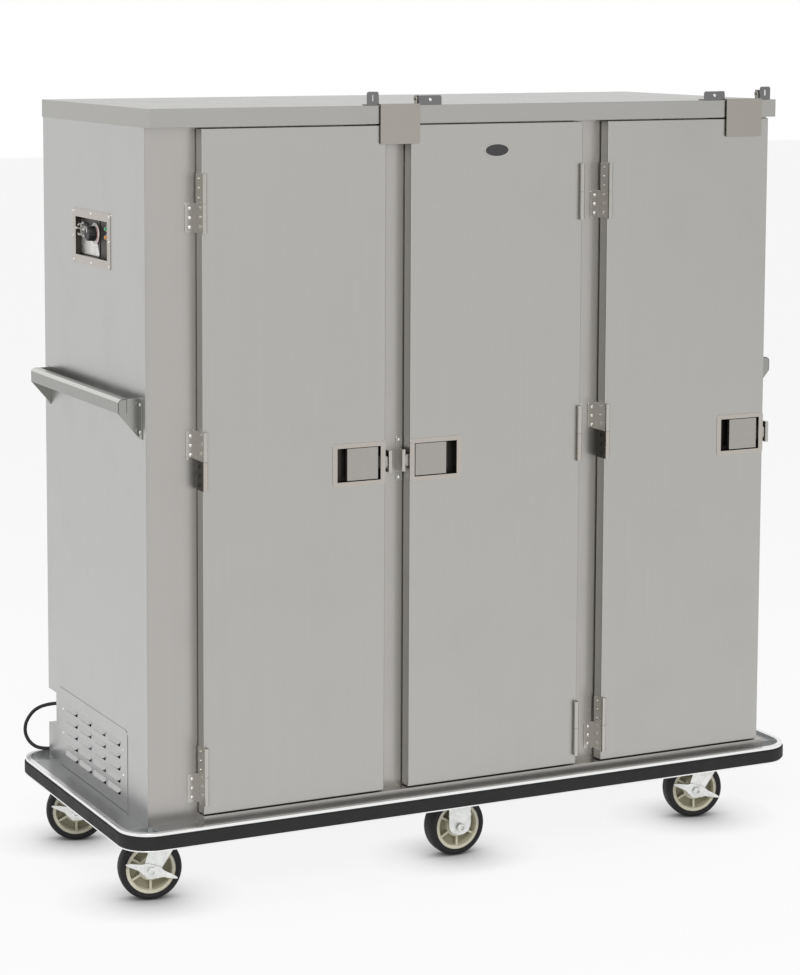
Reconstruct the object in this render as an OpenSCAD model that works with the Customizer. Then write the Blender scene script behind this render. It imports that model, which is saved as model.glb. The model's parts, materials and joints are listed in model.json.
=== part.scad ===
// Enclosed meal tray cart: a stainless cabinet with three hinged doors, a heated
// column on its left, and a bumpered base on two rigid and four swivel casters.
// X runs to the right and Y to the back, both from the middle of the base, and Z up from the floor.

/* [Base] */
// Length of the base over the bumper rail
base_w = 1822; // [1780:1:2000]
// Depth of the base over the bumper rail
base_d = 780; // [770:1:860]
// Height of the deck above the tops of the tyres
deck_rise = 46; // [44:1:60]
// Outer corner radius of the bumper rail
corner_r = 75; // [60:1:100]
// Height of the rail's upper lip above the deck
lip_h = 7.5; // [5:0.5:12]
// Height of the rail below the deck
rail_drop = 36; // [30:1:42]
// Depth of the rail's lips
rail_t = 12; // [10:0.5:14]
// Wall of the rail behind the rubber
rail_web = 3.5; // [2.5:0.5:5]
// How far the rubber stands proud of the rail
rubber_proud = 3; // [2:0.5:5]
// Height of the deck channels and the chassis frame
chassis_h = 28; // [24:1:32]
// Sheet gauge of the deck channels
deck_gauge = 2; // [1.5:0.5:3]
// Size of the open pocket at each corner of the deck
pocket = 12; // [8:1:20]

/* [Cabinet] */
// Width of the ledge at each side of the cabinet
side_ledge = 72; // [66:1:84]
// Width of the ledge behind the cabinet
rear_ledge = 36; // [34:1:48]
// Height from the deck to the underside of the cap
body_h = 1613; // [1560:1:1700]
// Sheet gauge of the outer panels
skin = 1.5; // [1:0.5:2.5]
// Distance from the front of the base to the door faces
door_setback = 34; // [20:1:40]
// Width of the closed column left of the doors
column_w = 125; // [115:1:127]
// Width between the left and middle doors
mullion_a = 65; // [62:1:70]
// Width between the middle and right doors
mullion_b = 71; // [69:1:74]
// Width of the frame right of the doors
right_stile = 19; // [17:1:24]
// Height of the top cap
cap_h = 43; // [35:1:50]
// How far the cap stands out past the cabinet's sides
cap_over = 2; // [1:0.5:3]
// Sheet gauge of the cap and the door sill
cap_gauge = 2; // [1.5:0.5:3]

/* [Doors] */
// Height of each door
door_h = 1586; // [1500:1:1586]
// Thickness of each door
door_t = 34; // [32:1:38]
// Height of the doors' lower edge above the deck
door_lift = 24; // [20:1:24]
// Gap between a closed door and the face frame, filled by the gasket
seal_gap = 3; // [2:0.5:4]
// Sheet gauge of the doors' skins
door_skin = 1.2; // [1:0.1:1.5]
// How far a door laps over its opening on each side
door_lap = 14; // [12:1:18]
// Width of the gasket
seal_w = 11; // [8:1:12]
// Gap between a closed door and the sill below it
sill_gap = 3; // [2:0.5:6]

/* [Hinges] */
// Length of a hinge
hinge_l = 136; // [120:1:150]
// Radius of a hinge barrel
barrel_r = 6; // [5:0.5:7]
// Radius of a hinge pin
hinge_pin_r = 3; // [2.5:0.5:3.5]
// Sheet gauge of the hinge leaves
leaf_t = 2; // [1.5:0.5:2.5]
// Height of the lower hinge's middle above the door's lower edge
hinge_low = 91; // [80:1:120]
// Height of the middle hinge's middle above the door's lower edge
hinge_mid = 827; // [700:1:860]
// Distance of the upper hinge's middle below the door's upper edge
hinge_high = 169; // [120:1:200]

/* [Door latches] */
// Width of the latch bezel
bezel_w = 138; // [134:1:146]
// Height of the latch bezel
bezel_h = 102; // [98:1:110]
// Width of the recess inside the bezel
recess_w = 113; // [110:1:116]
// Height of the recess inside the bezel
recess_h = 80; // [76:1:84]
// Depth of the recess
recess_d = 25; // [22:1:27]
// Width of the paddle
paddle_w = 79; // [70:1:84]
// How far the latch bolt stands out past the door's edge
bolt_out = 9; // [8:0.5:10]
// Height of the latch bolt
bolt_h = 28; // [20:1:34]
// Height of the keeper's post on the frame
keeper_h = 52; // [44:1:60]
// Height of the keeper's plate on the frame
keeper_plate_h = 106; // [96:1:116]

/* [Transport latches] */
// Width of a latch flap
flap_w = 103; // [95:1:106]
// Height of a latch flap below the cap's top
flap_drop = 90; // [84:1:100]
// Sheet gauge of the flap
flap_t = 2.5; // [2:0.5:3]
// Left edge of the left flap
flap_a_x = -266; // [-270:1:-262]
// Left edge of the right flap
flap_b_x = 692; // [688:1:696]
// Height of the flap's pivot above the cap
flap_pivot_h = 14; // [13.5:0.5:18]
// Height of the upright slotted tab
tab_h = 32; // [28:1:40]

/* [Left side] */
// Width of the louvre panel
louvre_w = 460; // [450:1:470]
// Distance of the louvre panel from the back
louvre_in = 87; // [80:1:95]
// Height of the louvre panel
louvre_h = 196; // [192:1:210]
// Width of the control panel flange
control_w = 252; // [248:1:270]
// Height of the control panel flange
control_h = 133; // [128:1:150]
// Distance of the control panel from the back
control_in = 209; // [190:1:220]
// Width of the flange around the control recess
control_rim = 21; // [18:1:22]
// Depth of the control recess
control_depth = 14; // [12:1:30]
// Height of the control panel's lower edge above the deck
control_z = 1272; // [1200:1:1300]
// Width of the cord notch, measured from the back
notch_d = 56; // [50:1:70]
// Height of the cord notch
notch_h = 88; // [80:1:100]
// Height of the notch's lower edge above the deck
notch_z = 86; // [80:1:100]

/* [Handles] */
// Length of a push handle
handle_l = 596; // [500:1:610]
// How far a handle stands out from the side
handle_out = 51; // [48:1:60]
// Height of a handle's bar
handle_bar = 34; // [28:1:40]
// Thickness of a handle's bar
handle_t = 22; // [18:1:26]
// Height of a handle's end gussets
gusset_h = 93; // [80:1:100]
// Height of the handle's top above the deck
handle_z = 996; // [900:1:1050]

/* [Casters] */
// Radius of a tyre
wheel_r = 75; // [70:1:76]
// Width of a tyre
tread_w = 48; // [40:1:50]
// Outer radius of a wheel's hub
hub_r = 59; // [54:1:60]
// Radius of an axle
axle_r = 6; // [5:0.5:7]
// Offset of the axle from the kingpin
trail = 50; // [40:1:52]
// Radius of a kingpin
kingpin_r = 8; // [6:0.5:9]
// Distance of the kingpins from the base's ends
kingpin_in_x = 157; // [150:1:170]
// Distance of the kingpins from the base's long sides
kingpin_in_y = 143; // [138:1:150]
// Resting swivel angle of the front left caster
yaw_front_left = -13; // [-40:1:40]
// Resting swivel angle of the front right caster
yaw_front_right = -14; // [-40:1:40]
// Resting swivel angle of the rear left caster
yaw_rear_left = -20; // [-40:1:40]
// Resting swivel angle of the rear right caster
yaw_rear_right = -8; // [-40:1:40]
// Length of a brake lever
brake_l = 128; // [110:1:132]

/* [Inside] */
// Number of tray levels in each bay
tray_levels = 9; // [6:1:11]
// Height of the lowest tray rail above the bay floor
tray_low = 130; // [90:1:160]
// Spacing of the tray rails
tray_pitch = 150; // [110:1:160]
// Width of a tray rail
tray_rail_w = 18; // [14:1:24]
// Sheet gauge of the bay liners
liner_t = 1; // [0.8:0.1:1.5]
// Radius of the blower wheel
blower_r = 56; // [50:1:60]

/* [Power cord] */
// Diameter of the cord
cord_d = 9; // [7:0.5:9]
// Pitch of the hank's loops
hank_pitch = 10.2; // [10:0.1:12]
// Length of the hank's straight runs
hank_run = 145; // [140:1:160]
// Least fold radius of the hank
hank_fold = 27; // [27:0.5:30]

/* [Hidden] */

$fn = 48;
eps = 0.01;          // overshoot of a cut past the face it opens
run_gap = 0.06;      // radial clearance of a turning fit
seat_gap = 0.3;      // clearance of a piece that is set in place
touch_gap = 0.1;     // between separate sheets that are bolted together

steel = [0.72, 0.72, 0.7];
bright_steel = [0.82, 0.82, 0.81];
dark_steel = [0.45, 0.46, 0.47];
aluminium = [0.88, 0.88, 0.87];
zinc = [0.85, 0.86, 0.85];
rubber = [0.12, 0.12, 0.13];
cream = [0.87, 0.85, 0.75];

// Sizes that follow from the others
deck_h = 2 * wheel_r + deck_rise;
body_w = base_w - 2 * side_ledge;
body_d = base_d - door_setback - door_t - seal_gap - rear_ledge;
door_w = (body_w - column_w - mullion_a - mullion_b - right_stile) / 3;

// Planes of the cabinet
front_y = -base_d / 2 + door_setback;            // faces of the doors and of the cap's front
stile_y = front_y + door_t + seal_gap;           // front of the face frame
back_y = stile_y + body_d;                       // back of the cabinet
side_x = body_w / 2;
cap_z = deck_h + body_h;
top_z = cap_z + cap_h;
wall_top = top_z - cap_gauge;                    // the walls reach up to the cap's inside
chassis_z = deck_h - chassis_h;
rail_z = deck_h - rail_drop;
lip_z = deck_h + lip_h;

// Doors: left edge of each and the side that its hinges are on (1 left, -1 right)
door_x = [-side_x + column_w,
    -side_x + column_w + door_w + mullion_a,
    -side_x + column_w + 2 * door_w + mullion_a + mullion_b];
hinge_side = [1, -1, 1];
door_z = deck_h + door_lift;
door_top = door_z + door_h;
hinge_zs = [door_z + hinge_low, door_z + hinge_mid, door_top - hinge_high];
latch_z = door_z + door_h / 2;
hinge_front = barrel_r + seat_gap;               // pivot line in front of the door face
hinge_in = barrel_r - leaf_t;                    // pivot line inside the door's hinge edge
hinge_y = front_y - hinge_front;
knuckle_gap = 0.5;
bezel_t = 1.2;
bezel_rim = (bezel_w - recess_w) / 2;
pivot_in = bezel_rim + 7;                        // paddle pivot from the door's latch edge
pivot_y = front_y + 6.5;
paddle_barrel_r = 4.5;
paddle_pin_r = 2.5;
paddle_t = 3;
keeper_gap = 1.5;                                // between the bolt's tip and the keeper
keeper_post = 8.5;
opening_z0 = door_z + door_lap;
opening_z1 = door_top - door_lap - 2;

// Transport flaps
flap_front = front_y - 4;                        // back of the hanging plate
flap_pivot_y = front_y + 16;
flap_pivot_z = top_z + flap_pivot_h;
flap_pin_r = 3;
flap_ear_r = 8;
flap_lift = 1;                                   // flap's top leg above the cap
tab_in = 3;                                      // brackets' front behind the cap's front
tab_low = 22;                                    // height of the long low bracket

// Left side
panel_t = 1.5;
louvre_y = back_y - louvre_in - louvre_w;               // front edge of the louvre panel
louvre_z = deck_h + 1;
louvre_rim = 22;
control_y = back_y - control_in - control_w;            // front edge of the control panel
control_z0 = deck_h + control_z;
pan_x = -side_x + control_depth;                 // front of the recess's back wall
knob_y = control_y + 131;
knob_z = control_z0 + 77;
switch_y = control_y + 199;
switch_z = control_z0 + 82;
switch_x = pan_x - 6;                            // pivot of the toggle
switch_pin_r = 1.5;
switch_tilt = 14;                                // toggle at rest, above level
guard_r = 17;
lamp_y = control_y + 60;
lamp_z = control_z0 + 73;                         // middle of the lower lamp
lamp_pitch = 20;
notch_z0 = deck_h + notch_z;
notch_x = 69;                                    // depth of the notch into the cabinet

// Handles
handle_wall = 2.5;
handle_foot = 20;

// Casters
kingpin_x = base_w / 2 - kingpin_in_x;
kingpin_y = base_d / 2 - kingpin_in_y;
plate_t = 6;
caster_plate = [102, 114, 8];                    // width, depth and corner radius of a caster's plate
race_h = 20;                                     // height of the swivel race
plate_z = deck_h - plate_t;                      // top of the caster plates
crown_z = plate_z - plate_t - race_h;            // underside of the fork's crown
crown_t = 4;
leg_t = 3.5;
leg_in = tread_w / 2 + 6;                        // inner face of a fork's leg
axle_z = wheel_r;
caster_at = [[-kingpin_x, -kingpin_y, yaw_front_left], [kingpin_x, -kingpin_y, yaw_front_right],
    [-kingpin_x, kingpin_y, yaw_rear_left], [kingpin_x, kingpin_y, yaw_rear_right]];
brake_tilt = 18;

// Bays inside the face frame's openings
bay_x0 = [for (x = door_x) x + door_lap];
bay_w = door_w - 2 * door_lap;
liner_back = stile_y + body_d - 36;
rack_in = 2;                                     // rail rack's upright from the bay's wall

// Heater and blower in the closed column
blower_y = louvre_y + louvre_w / 2 + 10;
blower_z = louvre_z + louvre_h / 2 + 2;
column_wall = bay_x0[0] - liner_t;               // outside of the left bay's wall
blower_x = -side_x + 22;                         // left face of the blower housing
blower_t = 78;
shaft_r = 4;

// ---------- shared shapes ----------

// Plan of a rectangle with round corners, centred
module round_plan(w, d, r) {
    square([w - 2 * r, d], center = true);
    square([w, d - 2 * r], center = true);
    for (sx = [-1, 1], sy = [-1, 1])
        translate([sx * (w / 2 - r), sy * (d / 2 - r)]) circle(r = r, $fn = 64);
}

// Box given by its two corners
module box(a, b) {
    translate(a) cube(b - a);
}

// Round screw head that stands out of a face along X, Y or Z
module head_x(x, y, z, side) {
    translate([x, y, z]) rotate([0, side * 90, 0]) cylinder(r = 4, h = 2, $fn = 24);
}

module head_y(x, y, z) {
    translate([x, y, z]) rotate([90, 0, 0]) cylinder(r = 4, h = 2, $fn = 24);
}

// ---------- base ----------

module chassis_frame() {
    beam = 25;       // width of the angle that runs round the cabinet's foot
    wall = 3;
    x1 = side_x;
    color(dark_steel) {
        difference() {
            box([-x1, stile_y, chassis_z], [x1, back_y, deck_h]);
            box([-x1 + beam, stile_y + beam, chassis_z - eps], [x1 - beam, back_y - beam, deck_h - deck_gauge]);
            box([-x1 + wall, stile_y + wall, chassis_z - eps], [x1 - wall, back_y - wall, deck_h - wall]);
        }
        for (x = [-kingpin_x, 0, kingpin_x]) cross_member(x, stile_y + wall, back_y - wall);
    }
}

// Channel open downwards that carries a pair of casters
module cross_member(x, y0, y1) {
    half = 64;
    wall = 4;
    difference() {
        box([x - half, y0, chassis_z], [x + half, y1, deck_h]);
        box([x - half + wall, y0 - 1, chassis_z - eps], [x + half - wall, y1 + 1, plate_z]);
    }
}

module bumper_rail() {
    color(aluminium) difference() {
        translate([0, 0, rail_z]) linear_extrude(lip_z - rail_z) difference() {
            round_plan(base_w, base_d, corner_r);
            round_plan(base_w - 2 * rail_t, base_d - 2 * rail_t, corner_r - rail_t);
        }
        translate([0, 0, rail_z + rail_web]) linear_extrude(rail_drop - rail_web) difference() {
            round_plan(base_w + 1, base_d + 1, corner_r + 0.5);
            round_plan(base_w - 2 * (rail_t - rail_web), base_d - 2 * (rail_t - rail_web),
                corner_r - rail_t + rail_web);
        }
    }
}

module bumper_rubber() {
    inner = rail_t - rail_web - seat_gap;
    z0 = rail_z + rail_web + seat_gap;
    z1 = deck_h - seat_gap;
    chamfer = 2.5;
    color(rubber) difference() {
        union() {
            translate([0, 0, z0]) linear_extrude(z1 - z0)
                round_plan(base_w, base_d, corner_r);
            translate([0, 0, z0 + chamfer]) linear_extrude(z1 - z0 - 2 * chamfer)
                round_plan(base_w + 2 * rubber_proud, base_d + 2 * rubber_proud, corner_r + rubber_proud);
        }
        translate([0, 0, z0 - eps]) linear_extrude(z1 - z0 + 2 * eps)
            round_plan(base_w - 2 * inner, base_d - 2 * inner, corner_r - inner);
    }
}

module deck_channels() {
    inner_x = base_w / 2 - rail_t;
    inner_y = base_d / 2 - rail_t;
    straight = base_d / 2 - corner_r;            // half length of the rail's straight ends
    color(bright_steel) {
        for (s = [-1, 1])
            deck_channel([min(s * inner_x, s * side_x), -straight], [max(s * inner_x, s * side_x), straight]);
        deck_channel([-side_x + pocket, -inner_y], [side_x - pocket, stile_y]);
        deck_channel([-side_x + pocket, back_y], [side_x - pocket, inner_y]);
    }
}

// Channel open downwards over the plan rectangle from a to b
module deck_channel(a, b) {
    g = deck_gauge;
    difference() {
        box([a.x, a.y, chassis_z], [b.x, b.y, deck_h]);
        box([a.x + g, a.y + g, chassis_z - eps], [b.x - g, b.y - g, deck_h - g]);
    }
}

// ---------- cabinet ----------

module left_side_panel() {
    hole_y0 = louvre_y + louvre_rim;
    pan_y0 = control_y + control_rim - skin - seat_gap;
    pan_y1 = control_y + control_w - control_rim + skin + seat_gap;
    pan_z0 = control_z0 + control_rim - skin - seat_gap;
    pan_z1 = control_z0 + control_h - control_rim + skin + seat_gap;
    color(steel) difference() {
        box([-side_x, stile_y, deck_h], [-side_x + skin, back_y, wall_top]);
        box([-side_x - 1, hole_y0, louvre_z + louvre_rim],
            [-side_x + 3, louvre_y + louvre_w - louvre_rim, louvre_z + louvre_h - louvre_rim]);
        box([-side_x - 1, pan_y0, pan_z0], [-side_x + 3, pan_y1, pan_z1]);
        box([-side_x - 1, back_y - notch_d, notch_z0], [-side_x + 3, back_y + 1, notch_z0 + notch_h]);
    }
}

module right_side_panel() {
    color(steel) box([side_x - skin, stile_y, deck_h], [side_x, back_y, wall_top]);
}

module back_panel() {
    color(steel) difference() {
        box([-side_x + skin, back_y - skin, deck_h], [side_x - skin, back_y, wall_top]);
        box([-side_x - 1, back_y - 3, notch_z0], [-side_x + notch_x, back_y + 1, notch_z0 + notch_h]);
    }
}

module face_frame() {
    sill_x0 = door_x[0];
    sill_x1 = side_x;
    sill_top = door_z - sill_gap;
    g = cap_gauge;
    color(steel) {
        difference() {
            box([-side_x + skin, stile_y, deck_h], [side_x - skin, stile_y + skin, wall_top]);
            for (x = bay_x0) box([x, stile_y - 1, opening_z0], [x + bay_w, stile_y + skin + 1, opening_z1]);
        }
        difference() {
            box([sill_x0, front_y, deck_h], [sill_x1, stile_y, sill_top]);
            box([sill_x0 + g, front_y + g, deck_h - eps], [sill_x1 - g, stile_y - g, sill_top - g]);
        }
    }
}

module top_cap() {
    g = cap_gauge;
    x1 = side_x + cap_over;
    y1 = back_y + cap_over;
    color(steel) difference() {
        box([-x1, front_y, cap_z], [x1, y1, top_z]);
        box([-x1 + g, stile_y, cap_z - eps], [x1 - g, y1 - g, top_z - g]);
        box([-x1 + g, front_y + g, cap_z + g], [x1 - g, stile_y + eps, top_z - g]);
    }
}

// ---------- inside ----------

// Five sheets line each bay: two walls, a floor, a roof, and a back with its air holes
module bay_liners() {
    s = liner_t;
    y0 = stile_y + skin;
    y1 = liner_back - s - touch_gap;
    z0 = opening_z0;
    z1 = opening_z1;
    color(bright_steel) for (x = bay_x0) {
        for (wx = [x - s, x + bay_w]) box([wx, y0, z0], [wx + s, y1, z1]);
        for (wz = [z0 - s - touch_gap, z1 + touch_gap]) box([x - s, y0, wz], [x + bay_w + s, y1, wz + s]);
        difference() {
            box([x - s, liner_back - s, z0 - s], [x + bay_w + s, liner_back, z1 + s]);
            for (k = [1:4]) translate([x + bay_w / 2, liner_back - s / 2, z0 + k * (z1 - z0) / 5])
                rotate([90, 0, 0]) cylinder(r = 14, h = 4, center = true);
        }
    }
}

module tray_racks() {
    color(bright_steel) for (x = bay_x0) {
        tray_rack(x + touch_gap, 1);
        tray_rack(x + bay_w - touch_gap, -1);
    }
}

// Two uprights and their flat rails, against the wall at x and facing side
module tray_rack(x, side) {
    y0 = stile_y + 30;
    y1 = liner_back - 30;
    bar = 2;
    rail = bar + touch_gap;
    top = opening_z0 + tray_low + (tray_levels - 1) * tray_pitch;
    module slab(d0, d1, a, b) {
        box([side > 0 ? x + d0 : x - d1, a.x, a.y], [side > 0 ? x + d1 : x - d0, b.x, b.y]);
    }
    for (y = [y0 + 40, y1 - 60]) slab(0, bar, [y, opening_z0 + touch_gap], [y + 20, top + 40]);
    for (i = [0:tray_levels - 1]) {
        z = opening_z0 + tray_low + i * tray_pitch;
        slab(rail, rail + tray_rail_w, [y0, z], [y1, z + bar]);
    }
}

module door_gaskets() {
    y0 = stile_y - seal_gap + seat_gap;
    color([0.3, 0.3, 0.31]) for (x = bay_x0) difference() {
        box([x - seal_w, y0, opening_z0 - seal_w], [x + bay_w + seal_w, stile_y, opening_z1 + seal_w]);
        box([x, y0 - 1, opening_z0], [x + bay_w, stile_y + 1, opening_z1]);
    }
}

module heater_element() {
    rod = 4;
    span = 140;
    pitch = 36;
    y0 = blower_y - span / 2;
    z0 = blower_z + blower_r + 74;
    out = column_wall - 46;
    color(dark_steel) {
        box([column_wall - 3, y0 - 20, z0 - 20], [column_wall, y0 + span + 20, z0 + 3 * pitch + 20]);
        for (i = [0:3]) for (y = [y0, y0 + span])
            translate([out, y, z0 + i * pitch]) rotate([0, 90, 0]) cylinder(r = rod, h = column_wall - 3 - out);
        for (i = [0:3])
            translate([out, y0 - rod, z0 + i * pitch]) rotate([-90, 0, 0]) cylinder(r = rod, h = span + 2 * rod);
    }
}

module blower_housing() {
    r = blower_r + 12;
    wall = 2;
    motor_x = blower_x + blower_t;
    plate_half = 60;
    color(dark_steel) difference() {
        union() {
            translate([blower_x, blower_y, blower_z]) rotate([0, 90, 0]) cylinder(r = r, h = blower_t);
            box([blower_x, blower_y, blower_z - r], [motor_x, blower_y + r + 20, blower_z]);
            translate([motor_x, blower_y, blower_z]) rotate([0, 90, 0]) cylinder(r = 28, h = column_wall - 3 - motor_x);
            box([column_wall - 3, blower_y - plate_half, blower_z - plate_half],
                [column_wall, blower_y + plate_half, blower_z + plate_half]);
        }
        translate([blower_x + wall, blower_y, blower_z]) rotate([0, 90, 0])
            cylinder(r = r - wall, h = blower_t - 2 * wall);
        translate([blower_x - 1, blower_y, blower_z]) rotate([0, 90, 0]) cylinder(r = blower_r - 14, h = wall + 2);
        box([blower_x + wall, blower_y, blower_z - r + wall],
            [motor_x - wall, blower_y + r + 21, blower_z - wall]);
    }
    color(bright_steel) translate([blower_x + 8, blower_y, blower_z]) rotate([0, 90, 0])
        cylinder(r = shaft_r, h = blower_t - 8);
}

module blower_wheel() {
    x0 = blower_x + 8;
    len = blower_t - 18;
    blades = 18;
    color(bright_steel) translate([x0, blower_y, blower_z]) rotate([0, 90, 0]) difference() {
        union() {
            cylinder(r = 10, h = len);
            translate([0, 0, len - 3]) cylinder(r = blower_r, h = 3);
            difference() {
                cylinder(r = blower_r, h = 3);
                translate([0, 0, -1]) cylinder(r = blower_r - 12, h = 5);
            }
            for (i = [0:blades - 1]) rotate([0, 0, i * 360 / blades])
                translate([blower_r - 11, -1, 1]) cube([10, 2, len - 2]);
        }
        translate([0, 0, -1]) cylinder(r = shaft_r + run_gap, h = len + 2);
    }
}

// ---------- left side ----------

module louvre_panel() {
    rows = 5;
    cols = 4;
    slot_w = 82;
    pitch_y = slot_w + 14.5;
    pitch_z = (louvre_h - 2 * louvre_rim - 6) / rows;
    x1 = -side_x;
    corner = 14;
    color(steel) {
        difference() {
            translate([x1 - panel_t, 0, 0]) rotate([90, 0, 90]) linear_extrude(panel_t) difference() {
                translate([louvre_y, louvre_z]) square([louvre_w, louvre_h]);
                translate([louvre_y, louvre_z + louvre_h - corner]) difference() {
                    translate([-1, 0]) square([corner + 1, corner + 1]);
                    translate([corner, 0]) circle(r = corner);
                }
            }
            louvres(rows, cols, slot_w, pitch_y, pitch_z) box([-2, 1, 3], [2, slot_w - 1, 14]);
        }
        translate([-panel_t, 0, 0]) louvres(rows, cols, slot_w, pitch_y, pitch_z)
            rotate([90, 0, 0]) translate([0, 0, -slot_w]) linear_extrude(slot_w)
                polygon([[0, 19], [-7, 8], [-7, 6.6], [-0.9, 15], [0, 15]]);
    }
}

module louvre_screws() {
    edge = 24;
    x = -side_x - panel_t;
    for (y = [louvre_y + edge, louvre_y + louvre_w - edge], z = [84, 145]) head_x(x, y, louvre_z + z, -1);
}

// Copies its child at every louvre's lower front corner
module louvres(rows, cols, slot_w, pitch_y, pitch_z) {
    for (i = [0:cols - 1], j = [0:rows - 1])
        translate([-side_x, louvre_y + (louvre_w - slot_w) / 2 + (i - (cols - 1) / 2) * pitch_y,
            louvre_z + louvre_rim + 5 + j * pitch_z]) children();
}

module control_pan() {
    y0 = control_y;
    y1 = control_y + control_w;
    z0 = control_z0;
    z1 = control_z0 + control_h;
    rim = control_rim;
    x1 = -side_x;
    color(bright_steel) {
        difference() {
            union() {
                box([x1 - panel_t, y0, z0], [x1, y1, z1]);
                box([x1 - eps, y0 + rim - skin, z0 + rim - skin], [pan_x + skin, y1 - rim + skin, z1 - rim + skin]);
            }
            box([x1 - panel_t - 1, y0 + rim, z0 + rim], [pan_x, y1 - rim, z1 - rim]);
            translate([pan_x - 1, knob_y, knob_z]) rotate([0, 90, 0]) cylinder(r = 4 + run_gap, h = 5);
        }
        translate([pan_x, switch_y, switch_z]) rotate([0, -90, 0]) difference() {
            cylinder(r = guard_r, h = 17);
            translate([0, 0, -eps]) cylinder(r = guard_r - 3, h = 18);
            for (a = [0, 90]) rotate([0, 0, a]) translate([-20, -9, 9]) cube([40, 18, 9]);
        }
        translate([switch_x, switch_y, switch_z]) rotate([90, 0, 0])
            cylinder(r = switch_pin_r, h = 2 * guard_r - 4, center = true);
    }
    color(dark_steel) translate([pan_x - panel_t - touch_gap, 0, 0]) difference() {
        box([0, y0 + rim + 84, z0 + rim + 2], [panel_t, y1 - rim - 2, z1 - rim - 2]);
        translate([-1, knob_y, knob_z]) rotate([0, 90, 0]) cylinder(r = 6, h = 4);
        translate([-1, switch_y, switch_z]) rotate([0, 90, 0]) cylinder(r = guard_r + seat_gap, h = 4);
    }
}

module control_rivets() {
    edge = 8;
    ys = [control_y + edge, control_y + control_w / 2, control_y + control_w - edge];
    zs = [control_z0 + edge, control_z0 + control_h / 2, control_z0 + control_h - edge];
    for (i = [0:2], j = [0:2]) if (i != 1 || j != 1) head_x(-side_x - panel_t, ys[i], zs[j], -1);
}

module pilot_lamps() {
    for (i = [0, 1])
        color(i == 1 ? [0.2, 0.6, 0.35] : [0.95, 0.6, 0.2])
            translate([pan_x, lamp_y, lamp_z + i * lamp_pitch]) rotate([0, -90, 0]) {
                cylinder(r = 6.5, h = 2.5);
                translate([0, 0, 2.5]) cylinder(r = 5, h = 5);
            }
}

module thermostat_knob() {
    gap = 2;
    color(rubber) translate([pan_x - gap, knob_y, knob_z]) rotate([0, -90, 0]) {
        cylinder(r = 26, h = 3);
        translate([0, 0, 3]) cylinder(r1 = 18, r2 = 16, h = 20);
        translate([-1.5, 0, 3]) cube([3, 18, 20.5]);
    }
    color(bright_steel) translate([pan_x - gap, knob_y, knob_z]) rotate([0, 90, 0]) cylinder(r = 4, h = gap + 10);
}

module power_switch() {
    ball_r = 4.2;
    color(bright_steel) translate([switch_x, switch_y, switch_z]) {
        difference() {
            rotate([90, 0, 0]) cylinder(r = ball_r, h = 14, center = true);
            rotate([90, 0, 0]) cylinder(r = switch_pin_r + run_gap, h = 16, center = true);
        }
        rotate([0, switch_tilt - 90, 0]) translate([0, 0, ball_r - 0.7]) cylinder(r = 2.6, h = 18);
    }
}

module cord_recess() {
    x0 = -side_x + skin;
    x1 = -side_x + notch_x;
    y0 = back_y - notch_d;
    y1 = back_y - skin;
    z0 = notch_z0;
    z1 = notch_z0 + notch_h;
    s = skin;
    color(dark_steel) difference() {
        box([x0, y0 - s, z0 - s], [x1 + s, y1, z1 + s]);
        box([x0 - 1, y0, z0], [x1, y1 + 1, z1]);
    }
}

// ---------- handles and fixed hardware ----------

module side_handles() {
    color(bright_steel) {
        side_handle();
        mirror([1, 0, 0]) side_handle();
    }
}

module side_handle() {
    mid = (stile_y + back_y) / 2;
    y0 = mid - handle_l / 2;
    y1 = mid + handle_l / 2;
    z1 = deck_h + handle_z;
    wall = handle_wall;
    foot = handle_foot;
    x_out = -side_x - handle_out;
    translate([x_out, 0, 0]) difference() {
        box([0, y0, z1 - handle_bar], [handle_t, y1, z1]);
        box([wall, y0 + wall, z1 - handle_bar - 1], [handle_t - wall, y1 - wall, z1 - wall]);
    }
    for (s = [0, 1]) {
        y = s == 0 ? y0 : y1 - wall;
        translate([0, y + wall, 0]) rotate([90, 0, 0]) linear_extrude(wall)
            polygon([[x_out + handle_t, z1], [x_out + handle_t, z1 - handle_bar], [x_out, z1 - handle_bar],
                [-side_x, z1 - gusset_h], [-side_x, z1]]);
        fy = s == 0 ? y0 - foot : y1 - eps;
        box([-side_x - wall, fy, z1 - gusset_h], [-side_x, fy + foot + eps, z1]);
    }
}

module handle_rivets() {
    mid = (stile_y + back_y) / 2;
    for (y = [mid - handle_l / 2 - handle_foot / 2, mid + handle_l / 2 + handle_foot / 2], dz = [14, gusset_h - 16])
        head_x(-side_x - handle_wall, y, deck_h + handle_z - dz, -1);
}

// Everything that is fixed to the face frame for the doors
module frame_hardware() {
    color(bright_steel) for (i = [0:2]) {
        door_place(i) for (k = [0:2]) frame_leaf(hinge_zs[k], k == 1);
        keeper(i);
    }
    transport_brackets();
}

// Rivets and screws that hold the fixed pieces
module fasteners() {
    color(bright_steel) {
        louvre_screws();
        control_rivets();
        handle_rivets();
        mirror([1, 0, 0]) handle_rivets();
        for (i = [0:2]) {
            door_place(i) for (k = [0:2]) leaf_screws(hinge_zs[k], k == 1);
            keeper_screws(i);
        }
        for (x = [flap_a_x + flap_w + 31, flap_b_x - 31]) head_y(x, front_y + tab_in, top_z + tab_low / 2 + 1);
        caster_bolts();
    }
}

// Puts its child at a door's hinge edge, mirrored where the hinges are on the right
module door_place(i) {
    if (hinge_side[i] > 0) translate([door_x[i], 0, 0]) children();
    else translate([door_x[i] + door_w, 0, 0]) mirror([1, 0, 0]) children();
}

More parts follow.
